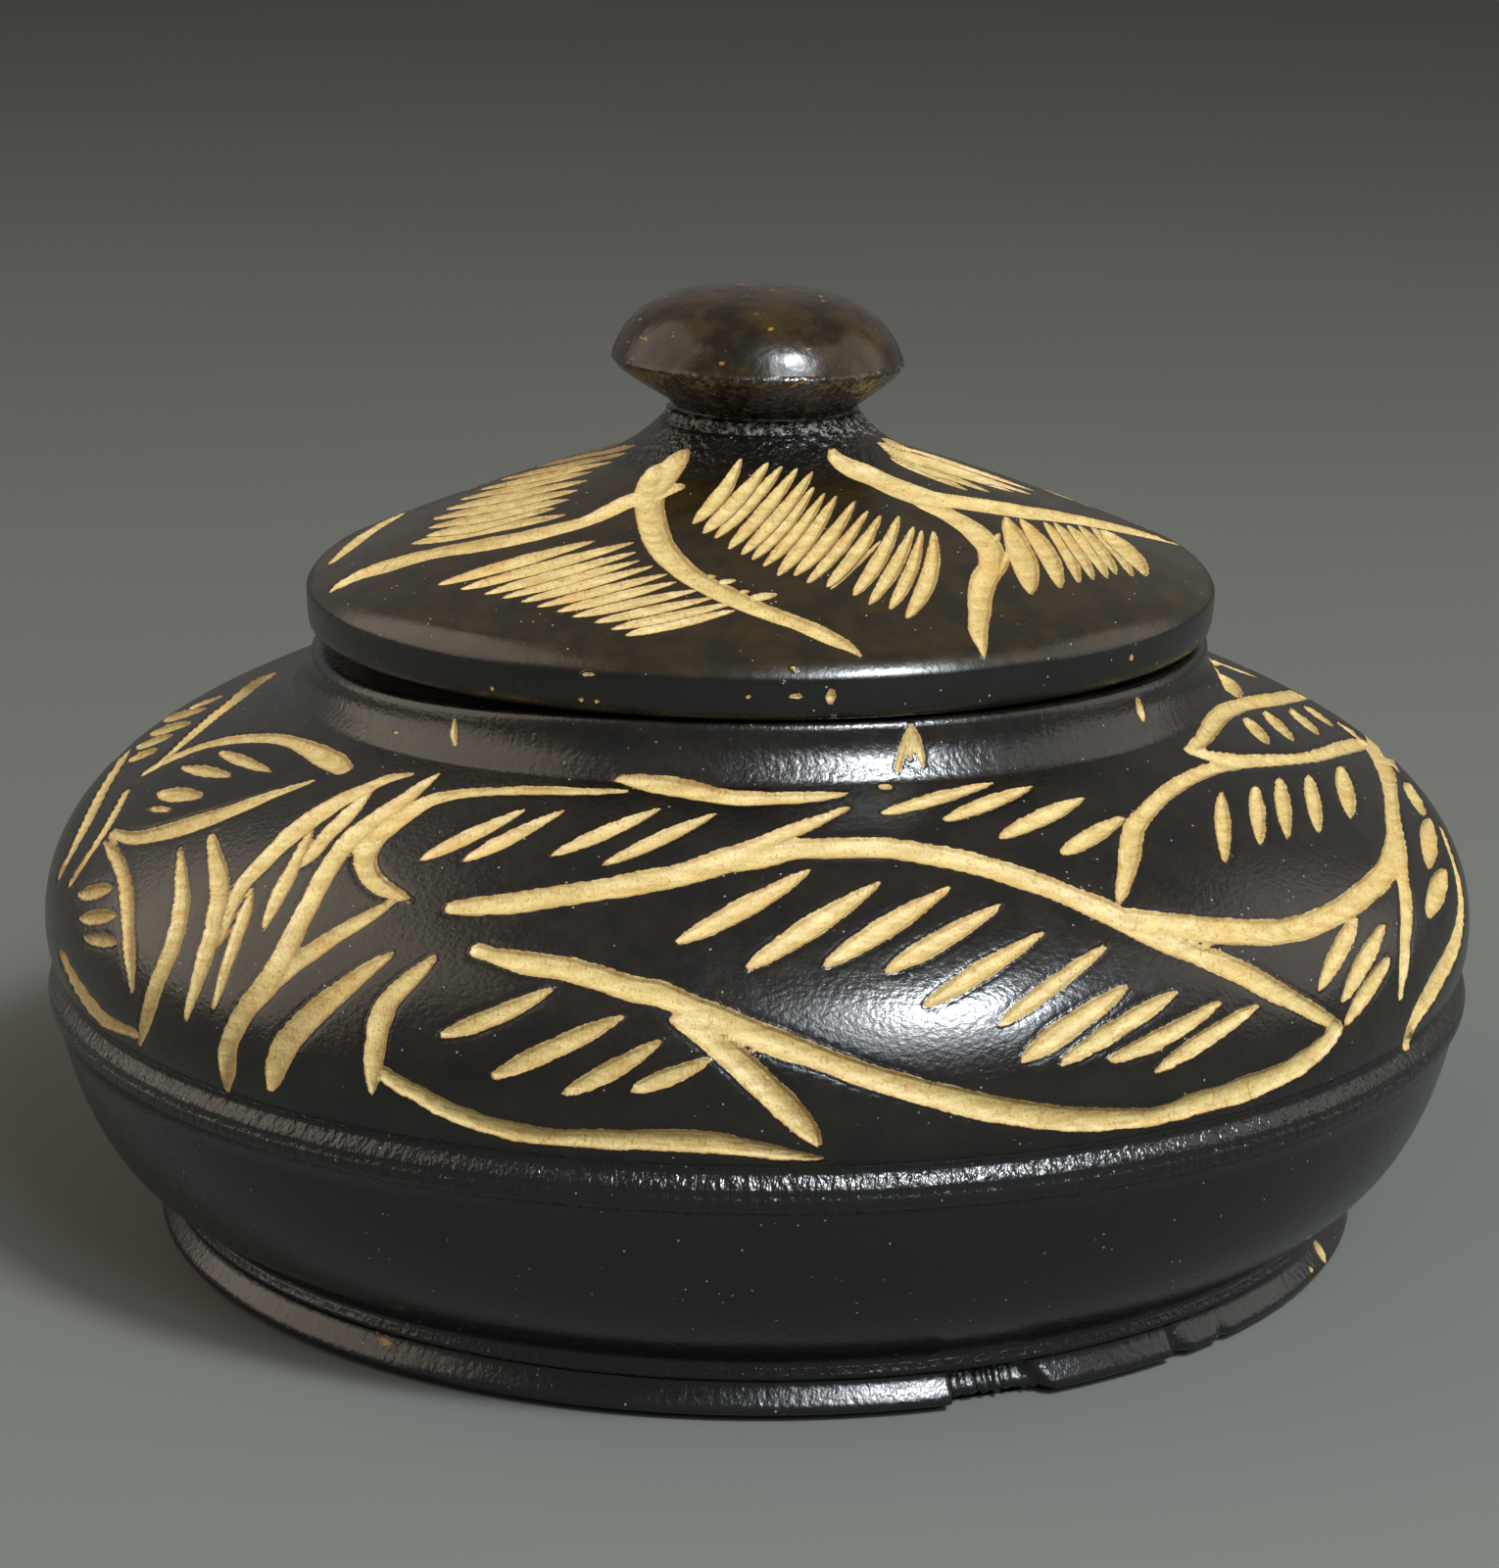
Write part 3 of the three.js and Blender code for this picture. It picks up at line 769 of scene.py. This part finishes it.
def carve_rings(rings, outline, first, last, strokes):
    """Cuts the strokes into rings first to last, along the outline's normal.

    Returns each point's distance to the nearest edge in each layer of strokes.
    """
    starts = np.concatenate([[0], np.cumsum([len(ring) for ring in rings])])
    depth, layers = carved(np.concatenate(rings[first:last]), strokes)
    slope = np.gradient(outline, axis=0)
    slope /= np.linalg.norm(slope, axis=1)[:, None]
    normals = np.stack([slope[:, 1], -slope[:, 0]], axis=1)
    values = {}
    for label, layer in zip(("cut_a", "cut_b", "cut_c"), layers):
        values[label] = np.full(starts[-1], FAR_FROM_CUTS)
        values[label][starts[first]:starts[last]] = layer
    offset = 0
    for ring, normal in zip(rings[first:last], normals[first:last]):
        cut = depth[offset:offset + len(ring)]
        offset += len(ring)
        draw_in(ring, cut * normal[0])
        ring[:, 2] -= cut * normal[1]
    return values


def ring_values(labels, rings, table):
    """A number for each point, from its ring's label."""
    return np.concatenate([np.full(len(ring), table.get(label, 0.0)) for label, ring in zip(labels, rings)])


def bowl_outline():
    """The bowl's outline, from the middle of its underside. The number after a curve counts its steps."""
    full = BOWL_COLUMNS
    return chained((
        (BOWL_UNDERSIDE, 1, "under"),
        (FOOT_RECESS_POINTS, full // 8, "under"),
        (FOOT_POINTS, full, "foot"),
        (RIDGE_POINTS, full, "ridge"),
        (FILLET_POINTS, full, "fillet"),
        (bezier(BAND_CURVE, 14), full // 4, "band"),
        (BEAD_POINTS, full // 2, "bead"),
        (bezier(BELLY_CURVE, 8), full, "belly"),
        (bezier(SHOULDER_CURVE, 66), full, "belly"),
        (COLLAR_POINTS, full, "collar"),
        (LIP_POINTS, full // 2, "lip"),
        (MOUTH_POINTS, full // 8, "hollow"),
        (bezier(HOLLOW_TOP_CURVE, 10), full // 8, "hollow"),
        (bezier(HOLLOW_LOW_CURVE, 14), full // 8, "hollow"),
        (BOWL_FLOOR, 1, "hollow"),
    ))


def notch_foot(rings, heights):
    """Takes the foot's lower bead back between the two azimuths of each notch, with a rough floor.

    A notch narrows with height. Its share of the depth rises and falls in a soft S at its ends.
    """
    chance = np.random.default_rng(NOTCH_SEED)
    knots = chance.normal(0, NOTCH_ROUGHNESS, NOTCH_ROUGH_KNOTS)
    knot_angles = np.linspace(0, NOTCH_ROUGH_DEGREES, NOTCH_ROUGH_KNOTS)
    for ring, height in zip(rings, heights):
        angle = np.degrees(azimuth_of(ring))
        rough = 1.0 + np.interp(angle % NOTCH_ROUGH_DEGREES, knot_angles, knots)
        loss = np.zeros(len(ring))
        for start, end, deep in FOOT_NOTCHES:
            turn = (angle - start) % 360
            width = end - start - height * NOTCH_SLANT
            opening = smooth_step(turn, 0.0, NOTCH_START_DEGREES)
            share = opening * (1.0 - smooth_step(turn, width - NOTCH_END_DEGREES, width))
            loss += share * deep * rough
        draw_in(ring, loss)


def warp_collar(rings, top):
    """Lifts the collar by a share of the cosine of twice the azimuth, and lets it down on the -X side."""
    for ring in rings:
        angle = azimuth_of(ring)
        share = smooth_step(ring[:, 2], WARP_START_HEIGHT, top)
        low = smooth_step(-np.sin(angle), *DROP_SIDE)
        fall = smooth_step(ring[:, 2], DROP_START_HEIGHT, top)
        ring[:, 2] += share * COLLAR_WARP * np.cos(2 * angle) - fall * low * COLLAR_DROP


def make_bowl(material):
    """The carved bowl: the turned outline, notched at the foot, carved, and warped a little at the collar."""
    outline, counts, labels = bowl_outline()
    rings = swept(outline, counts)
    first, last = stretch_of(labels, BOWL_OUTSIDE)
    foot_end = first + len(FOOT_POINTS)
    notch_foot(rings[first:foot_end], outline[first:foot_end, 1])
    strokes = all_strokes(
        BELLY_VEINS, BELLY_BLADES, BOWL_NICKS, rising(outline[first:last]), shift=0.0, widest=2.0, seed=3)
    values = carve_rings(rings, outline, first, last, strokes)
    warp_collar(rings[first:-1], outline[:, 1].max())
    values["inner"] = ring_values(labels, rings, {"hollow": 1.0, "under": 1.0})
    values["comb"] = ring_values(labels, rings, BOWL_CHATTER)
    # The band value makes the bowl's lower stretches blacker: painted shade
    values["band"] = ring_values(labels, rings, BOWL_PAINTED_SHADE)
    return turned_piece("bowl_carved", rings, values, material)


def lid_outline():
    """The lid's outline, from the middle of its hollow. The number after a curve counts its steps."""
    full = LID_COLUMNS
    return chained((
        (LID_HOLLOW_TOP, 1, "under"),
        (bezier(LID_HOLLOW_CURVE, 9), full // 8, "under"),
        (SPIGOT_POINTS, full // 8, "under"),
        (RIM_POINTS, full, "rim"),
        (CHAMFER_POINTS, full, "chamfer"),
        (bezier(DOME_CURVE, 108), full, "dome"),
        (bezier(CONE_CURVE, 16), full // 2, "cone"),
        (SEAT_POINTS, full // 8, "under"),
        (LID_HOLE_FLOOR, 1, "under"),
    ))


def make_lid(material):
    """The carved lid: the turned outline with the strokes of the dome cut into it.

    Towards the knob the paint grows blacker and rougher, by a soft step of the height. The part above the
    seat sits a little to the side.
    """
    outline, counts, labels = lid_outline()
    rings = swept(outline, counts)
    first, last = stretch_of(labels, LID_OUTSIDE)
    strokes = all_strokes(
        LID_VEINS, LID_BLADES, LID_NICKS, rising(outline[first:last]), shift=LID_SHIFT, widest=3.0, seed=5)
    values = carve_rings(rings, outline, first, last, strokes)
    for ring in rings[first:]:
        ring[:, 0] += LID_SHIFT * smooth_step(ring[:, 2], *LID_SHIFT_HEIGHTS)
    values["inner"] = ring_values(labels, rings, {"under": 1.0})
    clotted = np.repeat(smooth_step(outline[:, 1], CLOT_START_HEIGHT, CLOT_FULL_HEIGHT), counts)
    values["comb"] = ring_values(labels, rings, LID_CHATTER) + clotted * CLOT_CHATTER
    # On the lid the band value keeps the rim black, without the dome's painted warm reflection, and blackens
    # the clotted paint by the knob
    values["band"] = ring_values(labels, rings, LID_BLACK) + clotted * CLOT_BLACK
    return turned_piece("lid_carved", rings, values, material)


def clot_lumps(angle, phases, row):
    """Lumps round the knob's foot: the mean of sines of five, twelve and more turns, shifted row by row."""
    waves = [
        np.sin((5 + 7 * number) * angle + phase * (1 + 0.5 * row))
        for number, phase in enumerate(phases)
    ]
    return CLOT_LUMP * (sum(waves) / CLOT_WAVES)


def make_knob(material):
    """The turned knob: tenon, a flaring foot of clotted paint, underside and crown, leaning a little."""
    full = KNOB_COLUMNS
    outline, counts, labels = chained((
        (TENON_END, 1, "tenon"),
        (TENON_POINTS, full // 8, "tenon"),
        (bezier(KNOB_FOOT_CURVE, 14), full, "clot"),
        (bezier(KNOB_UNDER_CURVE, 22), full, "under"),
        (bezier(KNOB_CROWN_CURVE, 26), full, "crown"),
        (KNOB_TOP, 1, "crown"),
    ))
    rings = swept(outline, counts)
    phases = np.random.default_rng(CLOT_SEED).uniform(0, 2 * np.pi, CLOT_WAVES)
    lean = np.radians(KNOB_LEAN_DEGREES)
    for row, (ring, label) in enumerate(zip(rings, labels)):
        if label == "clot":
            draw_in(ring, -clot_lumps(azimuth_of(ring), phases, row))
        height = ring[:, 2] - KNOB_SEAT_HEIGHT
        over = ring[:, 0].copy()
        ring[:, 0] += KNOB_SHIFT + smooth_step(height, *HEAD_SHIFT_HEIGHTS) * KNOB_HEAD_SHIFT
        ring[:, 2] -= smooth_step(height, *KNOB_LEAN_HEIGHTS) * over * np.sin(lean)
    values = {
        # The underside takes a third of the clots' black, a painted shade, and of their lumps and painted
        # sheen
        "clot": ring_values(labels, rings, {"clot": 1.0, "under": 0.3}),
        "inner": ring_values(labels, rings, {"tenon": 1.0}),
    }
    return turned_piece("knob_turned", rings, values, material)


class Finish:
    """A material, with short ways to add its nodes. Places are in millimetres of the object's own axes."""

    def __init__(self, name):
        self.material = bpy.data.materials.new(name)
        self.material.use_nodes = True
        self.nodes = self.material.node_tree.nodes
        self.links = self.material.node_tree.links
        self.shader = self.nodes["Principled BSDF"]
        self.place = self.add("ShaderNodeTexCoord").outputs["Object"]

    def add(self, kind, inputs=None, **settings):
        """A new node with those settings and inputs."""
        node = self.nodes.new(kind)
        for label, value in settings.items():
            setattr(node, label, value)
        for label, value in (inputs or {}).items():
            self.feed(node.inputs[label], value)
        return node

    def feed(self, socket, value):
        """Links another node's output to a socket, or sets the socket's own value."""
        if isinstance(value, bpy.types.NodeSocket):
            self.links.new(value, socket)
        else:
            socket.default_value = value

    def number(self, operation, *values):
        """The result of a sum on one or two numbers."""
        inputs = dict(enumerate(values))
        return self.add("ShaderNodeMath", inputs, operation=operation).outputs[0]

    def plus(self, first, second):
        return self.number("ADD", first, second)

    def minus(self, first, second):
        return self.number("SUBTRACT", first, second)

    def times(self, first, second):
        return self.number("MULTIPLY", first, second)

    def lesser(self, first, second):
        return self.number("MINIMUM", first, second)

    def ramp(self, value, low, high, start=0.0, end=1.0):
        """A soft step from start to end as the value goes from low to high."""
        inputs = {"Value": value, "From Min": low, "From Max": high, "To Min": start, "To Max": end}
        node = self.add("ShaderNodeMapRange", inputs, interpolation_type="SMOOTHSTEP")
        return node.outputs["Result"]

    def tint(self, share, low, high):
        """A mix of two colours, the share of the second."""
        node = self.add("ShaderNodeMix", data_type="RGBA")
        for socket, value in zip((node.inputs[0], node.inputs[6], node.inputs[7]), (share, low, high)):
            self.feed(socket, value)
        return node.outputs[2]

    def stretched(self, stretch):
        """The place on the object in millimetres, each axis times its own stretch."""
        scale = [value / MM for value in stretch]
        return self.add("ShaderNodeMapping", {"Vector": self.place, "Scale": scale}).outputs[0]

    def noise(self, per_mm, stretch=(1, 1, 1), detail=2.0, roughness=0.5):
        """Noise from about 0.3 to 0.7, with that many cells to a millimetre."""
        inputs = {
            "Vector": self.stretched(stretch),
            "Scale": per_mm,
            "Detail": detail,
            "Roughness": roughness,
        }
        return self.add("ShaderNodeTexNoise", inputs).outputs[0]

    def dots(self, per_mm):
        """Distance from the nearest of scattered points, that many to a millimetre."""
        inputs = {"Vector": self.stretched((1, 1, 1)), "Scale": per_mm}
        return self.add("ShaderNodeTexVoronoi", inputs).outputs["Distance"]

    def value(self, label):
        """A number that the mesh has on each point."""
        return self.add("ShaderNodeAttribute", attribute_name=label).outputs["Fac"]

    def surface(self, base, rough, specular):
        """Sets the colour, the roughness and the specular level."""
        self.feed(self.shader.inputs["Base Color"], base)
        self.feed(self.shader.inputs["Roughness"], rough)
        self.shader.inputs["Specular IOR Level"].default_value = specular

    def relief(self, height):
        """Bumps of that height in millimetres."""
        inputs = {"Height": height, "Distance": MM, "Strength": 1.0}
        self.links.new(self.add("ShaderNodeBump", inputs).outputs[0], self.shader.inputs["Normal"])


def colour(red, green, blue):
    """A colour written as it looks on a screen, from 0 to 255, as linear light."""
    share = np.array([red, green, blue]) / 255
    linear = np.where(share <= 0.04045, share / 12.92, ((share + 0.055) / 1.055) ** 2.4)
    return (*linear.tolist(), 1.0)


# Bare wood in the strokes
WOOD_TAN = colour(192, 161, 95)
WOOD_YELLOW = colour(221, 197, 132)
WOOD_ORANGE_PATCH = colour(214, 166, 86)
WOOD_GRIT = colour(166, 124, 64)
WOOD_TICK = colour(172, 122, 56)
WOOD_CREST = colour(58, 40, 20)
WOOD_EDGE = colour(164, 106, 42)
TENON_WOOD = colour(206, 172, 110)

# Stained wood inside and below
STAIN_DARK = colour(38, 27, 19)
STAIN_BROWN = colour(66, 47, 32)

# Paint: a dark and a lighter tone that mix in clouds, the black of the rough stretches, and dust. The bowl's
# black is painted shade on its lower stretches. The lid's and the knob's two brown tones are a painted warm
# reflection.
BOWL_TONES = (colour(14, 11, 8), colour(28, 22, 14), colour(10, 11, 12))
LID_TONES_WITH_PAINTED_REFLECTION = (colour(28, 21, 6), colour(47, 34, 11), colour(10, 10, 10))
KNOB_TONES_WITH_PAINTED_REFLECTION = (colour(26, 19, 10), colour(58, 43, 20), colour(20, 20, 20))
# Golden painted glints on the knob, and a pale painted sheen on the clotted paint round its foot
KNOB_PAINTED_GLINT = colour(176, 126, 54)
CLOT_PAINTED_SHEEN = colour(160, 158, 152)
DUST = colour(186, 182, 172)

# Floor
FLOOR_TONES = (colour(110, 112, 107), colour(117, 119, 114))


def bare_wood(finish, ruffled, crest, chatter):
    """Pale fibrous wood with orange patches, grit, ticks across the grooves and orange-brown edges.

    A crest, where only a thin ridge is left between two strokes, is dark with leftover paint.
    """
    fibres = finish.noise(0.9, (0.25, 1.0, 1.6), detail=5.0, roughness=0.62)
    wood = finish.tint(finish.ramp(fibres, 0.3, 0.7), WOOD_TAN, WOOD_YELLOW)
    patches = finish.ramp(finish.noise(0.12), 0.52, 0.74, 0.0, 0.4)
    wood = finish.tint(patches, wood, WOOD_ORANGE_PATCH)
    grit = finish.ramp(finish.noise(4.5), 0.56, 0.66, 0.0, 0.45)
    wood = finish.tint(grit, wood, WOOD_GRIT)
    ticks = finish.times(finish.ramp(chatter, 0.55, 0.66), finish.ramp(finish.noise(1.0), 0.42, 0.6))
    wood = finish.tint(finish.times(ticks, 0.65), wood, WOOD_TICK)
    wood = finish.tint(finish.times(crest, 0.9), wood, WOOD_CREST)
    edge = finish.times(
        finish.ramp(ruffled, -0.2, -0.02), finish.ramp(finish.noise(0.45), 0.35, 0.65, 0.15, 0.85))
    return finish.tint(edge, wood, WOOD_EDGE)


def dusty_paint(finish, tones):
    """Cloudy paint, black where the band says so, with specks of dust in drifts."""
    dark, light, black = tones
    # On the lid and the knob the brown of both tones is a painted warm reflection on black paint
    cloud = finish.noise(0.25, detail=4.0, roughness=0.6)
    paint = finish.tint(finish.ramp(cloud, 0.35, 0.7), dark, light)
    # The black is painted shade on the bowl's lower stretches, plain black paint on the lid's rim, and
    # clotted paint by the knob
    paint = finish.tint(finish.value("band"), paint, black)
    specks = finish.times(
        finish.ramp(finish.dots(0.9), 0.04, 0.11, 1.0, 0.0), finish.ramp(finish.noise(0.3), 0.5, 0.57))
    return finish.tint(finish.times(specks, 0.75), paint, DUST)


def carved_relief(finish, to_edge, ruffled, painted, unpainted, chatter, pebbles):
    """Height of the bumps: pebbled paint, tool chatter, ridged wood, and a raised lip of paint at each edge.

    To_edge is the distance to the nearest stroke's edge, below 0 inside the stroke, and ruffled is the same
    with noise added.
    """
    height = finish.times(finish.noise(1.9, (1.0, 1.0, 1.35), detail=3.0), pebbles)
    comb = finish.times(finish.noise(1.35, (1.0, 1.0, 0.09), roughness=0.6), finish.value("comb"))
    height = finish.plus(height, finish.times(comb, 0.12))
    ridges = finish.times(finish.noise(1.6, detail=4.0, roughness=0.65), 0.1)
    ridges = finish.plus(ridges, finish.times(chatter, 0.05))
    height = finish.plus(height, finish.times(ridges, unpainted))
    lip = finish.times(finish.ramp(ruffled, 0.0, 0.28, 1.0, 0.0), painted)
    height = finish.plus(height, finish.times(lip, 0.05))
    wall = finish.ramp(to_edge, -0.4, 0.0)
    return finish.plus(height, finish.times(wall, 0.2))


def carved_paint(name, tones, pebbles, gloss, ragged):
    """Paint over pale wood, with bare wood inside the strokes and stained wood inside and below.

    The distance to the nearest stroke's edge, ruffled by fine and coarse noise, chooses wood or paint. Where
    the edges of two neighbouring leaf strokes are equally near, the thin ridge between them is a crest.
    """
    finish = Finish(name)
    cut_a, cut_b, cut_c = map(finish.value, ("cut_a", "cut_b", "cut_c"))
    to_edge = finish.lesser(finish.lesser(cut_a, cut_b), cut_c)
    apart = finish.number("ABSOLUTE", finish.minus(cut_a, cut_b))
    alone = finish.ramp(cut_c, 0.0, 0.1)
    crest = finish.times(finish.ramp(apart, 0.05, 0.17, 1.0, 0.0), alone)
    ruffled = to_edge
    for ruffle in (finish.noise(2.2, detail=3.0), finish.noise(0.5)):
        ruffled = finish.plus(ruffled, finish.ramp(ruffle, 0.3, 0.7, -ragged, ragged))
    painted = finish.ramp(ruffled, -0.04, 0.04)
    unpainted = finish.minus(1.0, painted)
    chatter = finish.noise(3.0, (1.0, 1.0, 0.28))
    outside = finish.tint(painted, bare_wood(finish, ruffled, crest, chatter), dusty_paint(finish, tones))
    stain = finish.noise(0.35, (0.3, 1.0, 1.0), detail=5.0, roughness=0.6)
    inside = finish.tint(finish.ramp(stain, 0.3, 0.7), STAIN_DARK, STAIN_BROWN)
    base = finish.tint(finish.value("inner"), outside, inside)
    rough = finish.ramp(finish.noise(0.7, detail=3.0), 0.3, 0.7, gloss, gloss + 0.06)
    rough = finish.plus(finish.times(unpainted, 0.3), rough)
    rough = finish.plus(rough, finish.times(finish.value("inner"), 0.22))
    finish.surface(base, rough, specular=0.75)
    finish.relief(carved_relief(finish, to_edge, ruffled, painted, unpainted, chatter, pebbles))
    return finish.material


def knob_paint():
    """Black paint with brown painted reflection, golden painted glints, and pale painted sheen on the clotted
    foot.
    """
    finish = Finish("knob_paint_with_painted_reflection")
    dark, light, black = KNOB_TONES_WITH_PAINTED_REFLECTION
    clot = finish.value("clot")
    cloud = finish.noise(0.3, detail=4.0, roughness=0.6)
    # The brown of both tones is a painted warm reflection on black paint
    paint = finish.tint(finish.ramp(cloud, 0.35, 0.7), dark, light)
    # Golden painted glints: small reflections painted into the colour
    glints = finish.ramp(finish.noise(1.0, (0.5, 0.5, 1.3)), 0.67, 0.72)
    paint = finish.tint(finish.times(glints, 0.65), paint, KNOB_PAINTED_GLINT)
    # Black clotted paint at the foot; on the underside, a third as strong, this black is painted shade
    paint = finish.tint(finish.times(clot, 0.7), paint, black)
    # Pale painted sheen: highlights painted on the clots, a third as strong on the underside
    sheen = finish.times(clot, finish.ramp(finish.noise(1.6, detail=3.0), 0.5, 0.6))
    paint = finish.tint(finish.times(sheen, 0.5), paint, CLOT_PAINTED_SHEEN)
    paint = finish.tint(finish.value("inner"), paint, TENON_WOOD)
    rough = finish.ramp(finish.noise(0.7, detail=3.0), 0.3, 0.7, 0.2, 0.3)
    finish.surface(paint, finish.minus(rough, finish.times(clot, 0.08)), specular=0.5)
    pebble = finish.times(finish.noise(0.8, detail=3.0, roughness=0.55), 0.06)
    lumps = finish.times(finish.times(finish.noise(1.1), 0.9), clot)
    finish.relief(finish.plus(pebble, lumps))
    return finish.material


def floor_finish():
    """A plain grey floor with a barely visible mottle."""
    finish = Finish("grey_floor")
    finish.surface(finish.tint(finish.noise(0.004), *FLOOR_TONES), rough=0.75, specular=0.1)
    return finish.material


def make_floor():
    """The floor: a flat disc round the bowl, a fan of triangles inside rings of four-sided faces."""
    angle = np.linspace(0, 2 * np.pi, FLOOR_SIDES, endpoint=False)
    ring = np.stack([np.cos(angle), np.sin(angle), np.zeros(FLOOR_SIDES)], axis=1)
    points = np.concatenate([np.zeros((1, 3))] + [reach * ring for reach in FLOOR_REACH])
    sides = [(number, (number + 1) % FLOOR_SIDES) for number in range(FLOOR_SIDES)]
    faces = [(0, 1 + a, 1 + b) for a, b in sides]
    for row in range(len(FLOOR_REACH) - 1):
        low = 1 + row * FLOOR_SIDES
        high = low + FLOOR_SIDES
        faces += [(low + a, high + a, high + b, low + b) for a, b in sides]
    mesh = bpy.data.meshes.new("floor")
    mesh.from_pydata(points.tolist(), [], faces)
    mesh.materials.append(floor_finish())
    floor = bpy.data.objects.new("floor", mesh)
    bpy.context.scene.collection.objects.link(floor)
    floor.location.z = -FLOOR_DROP


def added(name, data, right, up, back, place):
    """A lamp or camera in the scene, with those axes, at that place in metres."""
    thing = bpy.data.objects.new(name, data)
    bpy.context.scene.collection.objects.link(thing)
    matrix = np.eye(4)
    matrix[:3] = np.stack([right, up, back, place], axis=1)
    thing.matrix_world = Matrix(matrix.tolist())
    return thing


def area_light(name, direction, distance, size, power, tint):
    """A square soft light at that distance from the bowl, in that direction, facing it."""
    data = bpy.data.lights.new(name, "AREA")
    data.energy = power
    data.size = size
    data.color = tint
    away = np.array(direction) / np.linalg.norm(direction)
    side = np.cross([0.0, 0.0, 1.0], away)
    side /= np.linalg.norm(side)
    place = away * distance + np.array([0.0, 0.0, LAMP_AIM_HEIGHT])
    added(name, data, side, np.cross(away, side), away, place)


def make_camera():
    """The camera that was fitted to the photograph."""
    data = bpy.data.cameras.new("camera")
    data.sensor_fit = "HORIZONTAL"
    data.sensor_width = SENSOR_WIDTH
    data.lens = SENSOR_WIDTH * FOCAL_PIXELS / IMAGE_WIDTH
    data.clip_start = 0.01
    data.clip_end = 50.0
    bpy.context.scene.camera = added(
        "camera", data, CAMERA_RIGHT, CAMERA_UP, -CAMERA_FORWARD, CAMERA_PLACE * MM)


def make_studio():
    """An even dim surround and the lamps."""
    world = bpy.data.worlds.new("studio")
    world.use_nodes = True
    surround = world.node_tree.nodes["Background"]
    surround.inputs["Color"].default_value = SURROUND_TINT
    surround.inputs["Strength"].default_value = SURROUND_STRENGTH
    bpy.context.scene.world = world
    for name, lamp in LAMPS.items():
        area_light(name, *lamp)
    bpy.context.scene.view_settings.view_transform = "Standard"


def main():
    """Builds the camera, the studio, the floor and the three pieces."""
    make_camera()
    make_studio()
    make_floor()
    bowl_paint = carved_paint("bowl_carved_paint", BOWL_TONES, pebbles=0.05, gloss=0.22, ragged=0.04)
    lid_paint = carved_paint("lid_carved_paint", LID_TONES_WITH_PAINTED_REFLECTION, pebbles=0.022, gloss=0.23, ragged=0.025)
    dressed = (
        (make_bowl(bowl_paint), "bowl", "bowl", "bowl_painted_wood"),
        (make_lid(lid_paint), "lid", "lid", "lid_painted_wood"),
        (make_knob(knob_paint()), "lid", "knob", "knob_painted_wood"),
    )
    for piece, body, node, slot in dressed:
        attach(piece, body)
        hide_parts(node)
    bpy.context.view_layer.update()


main()
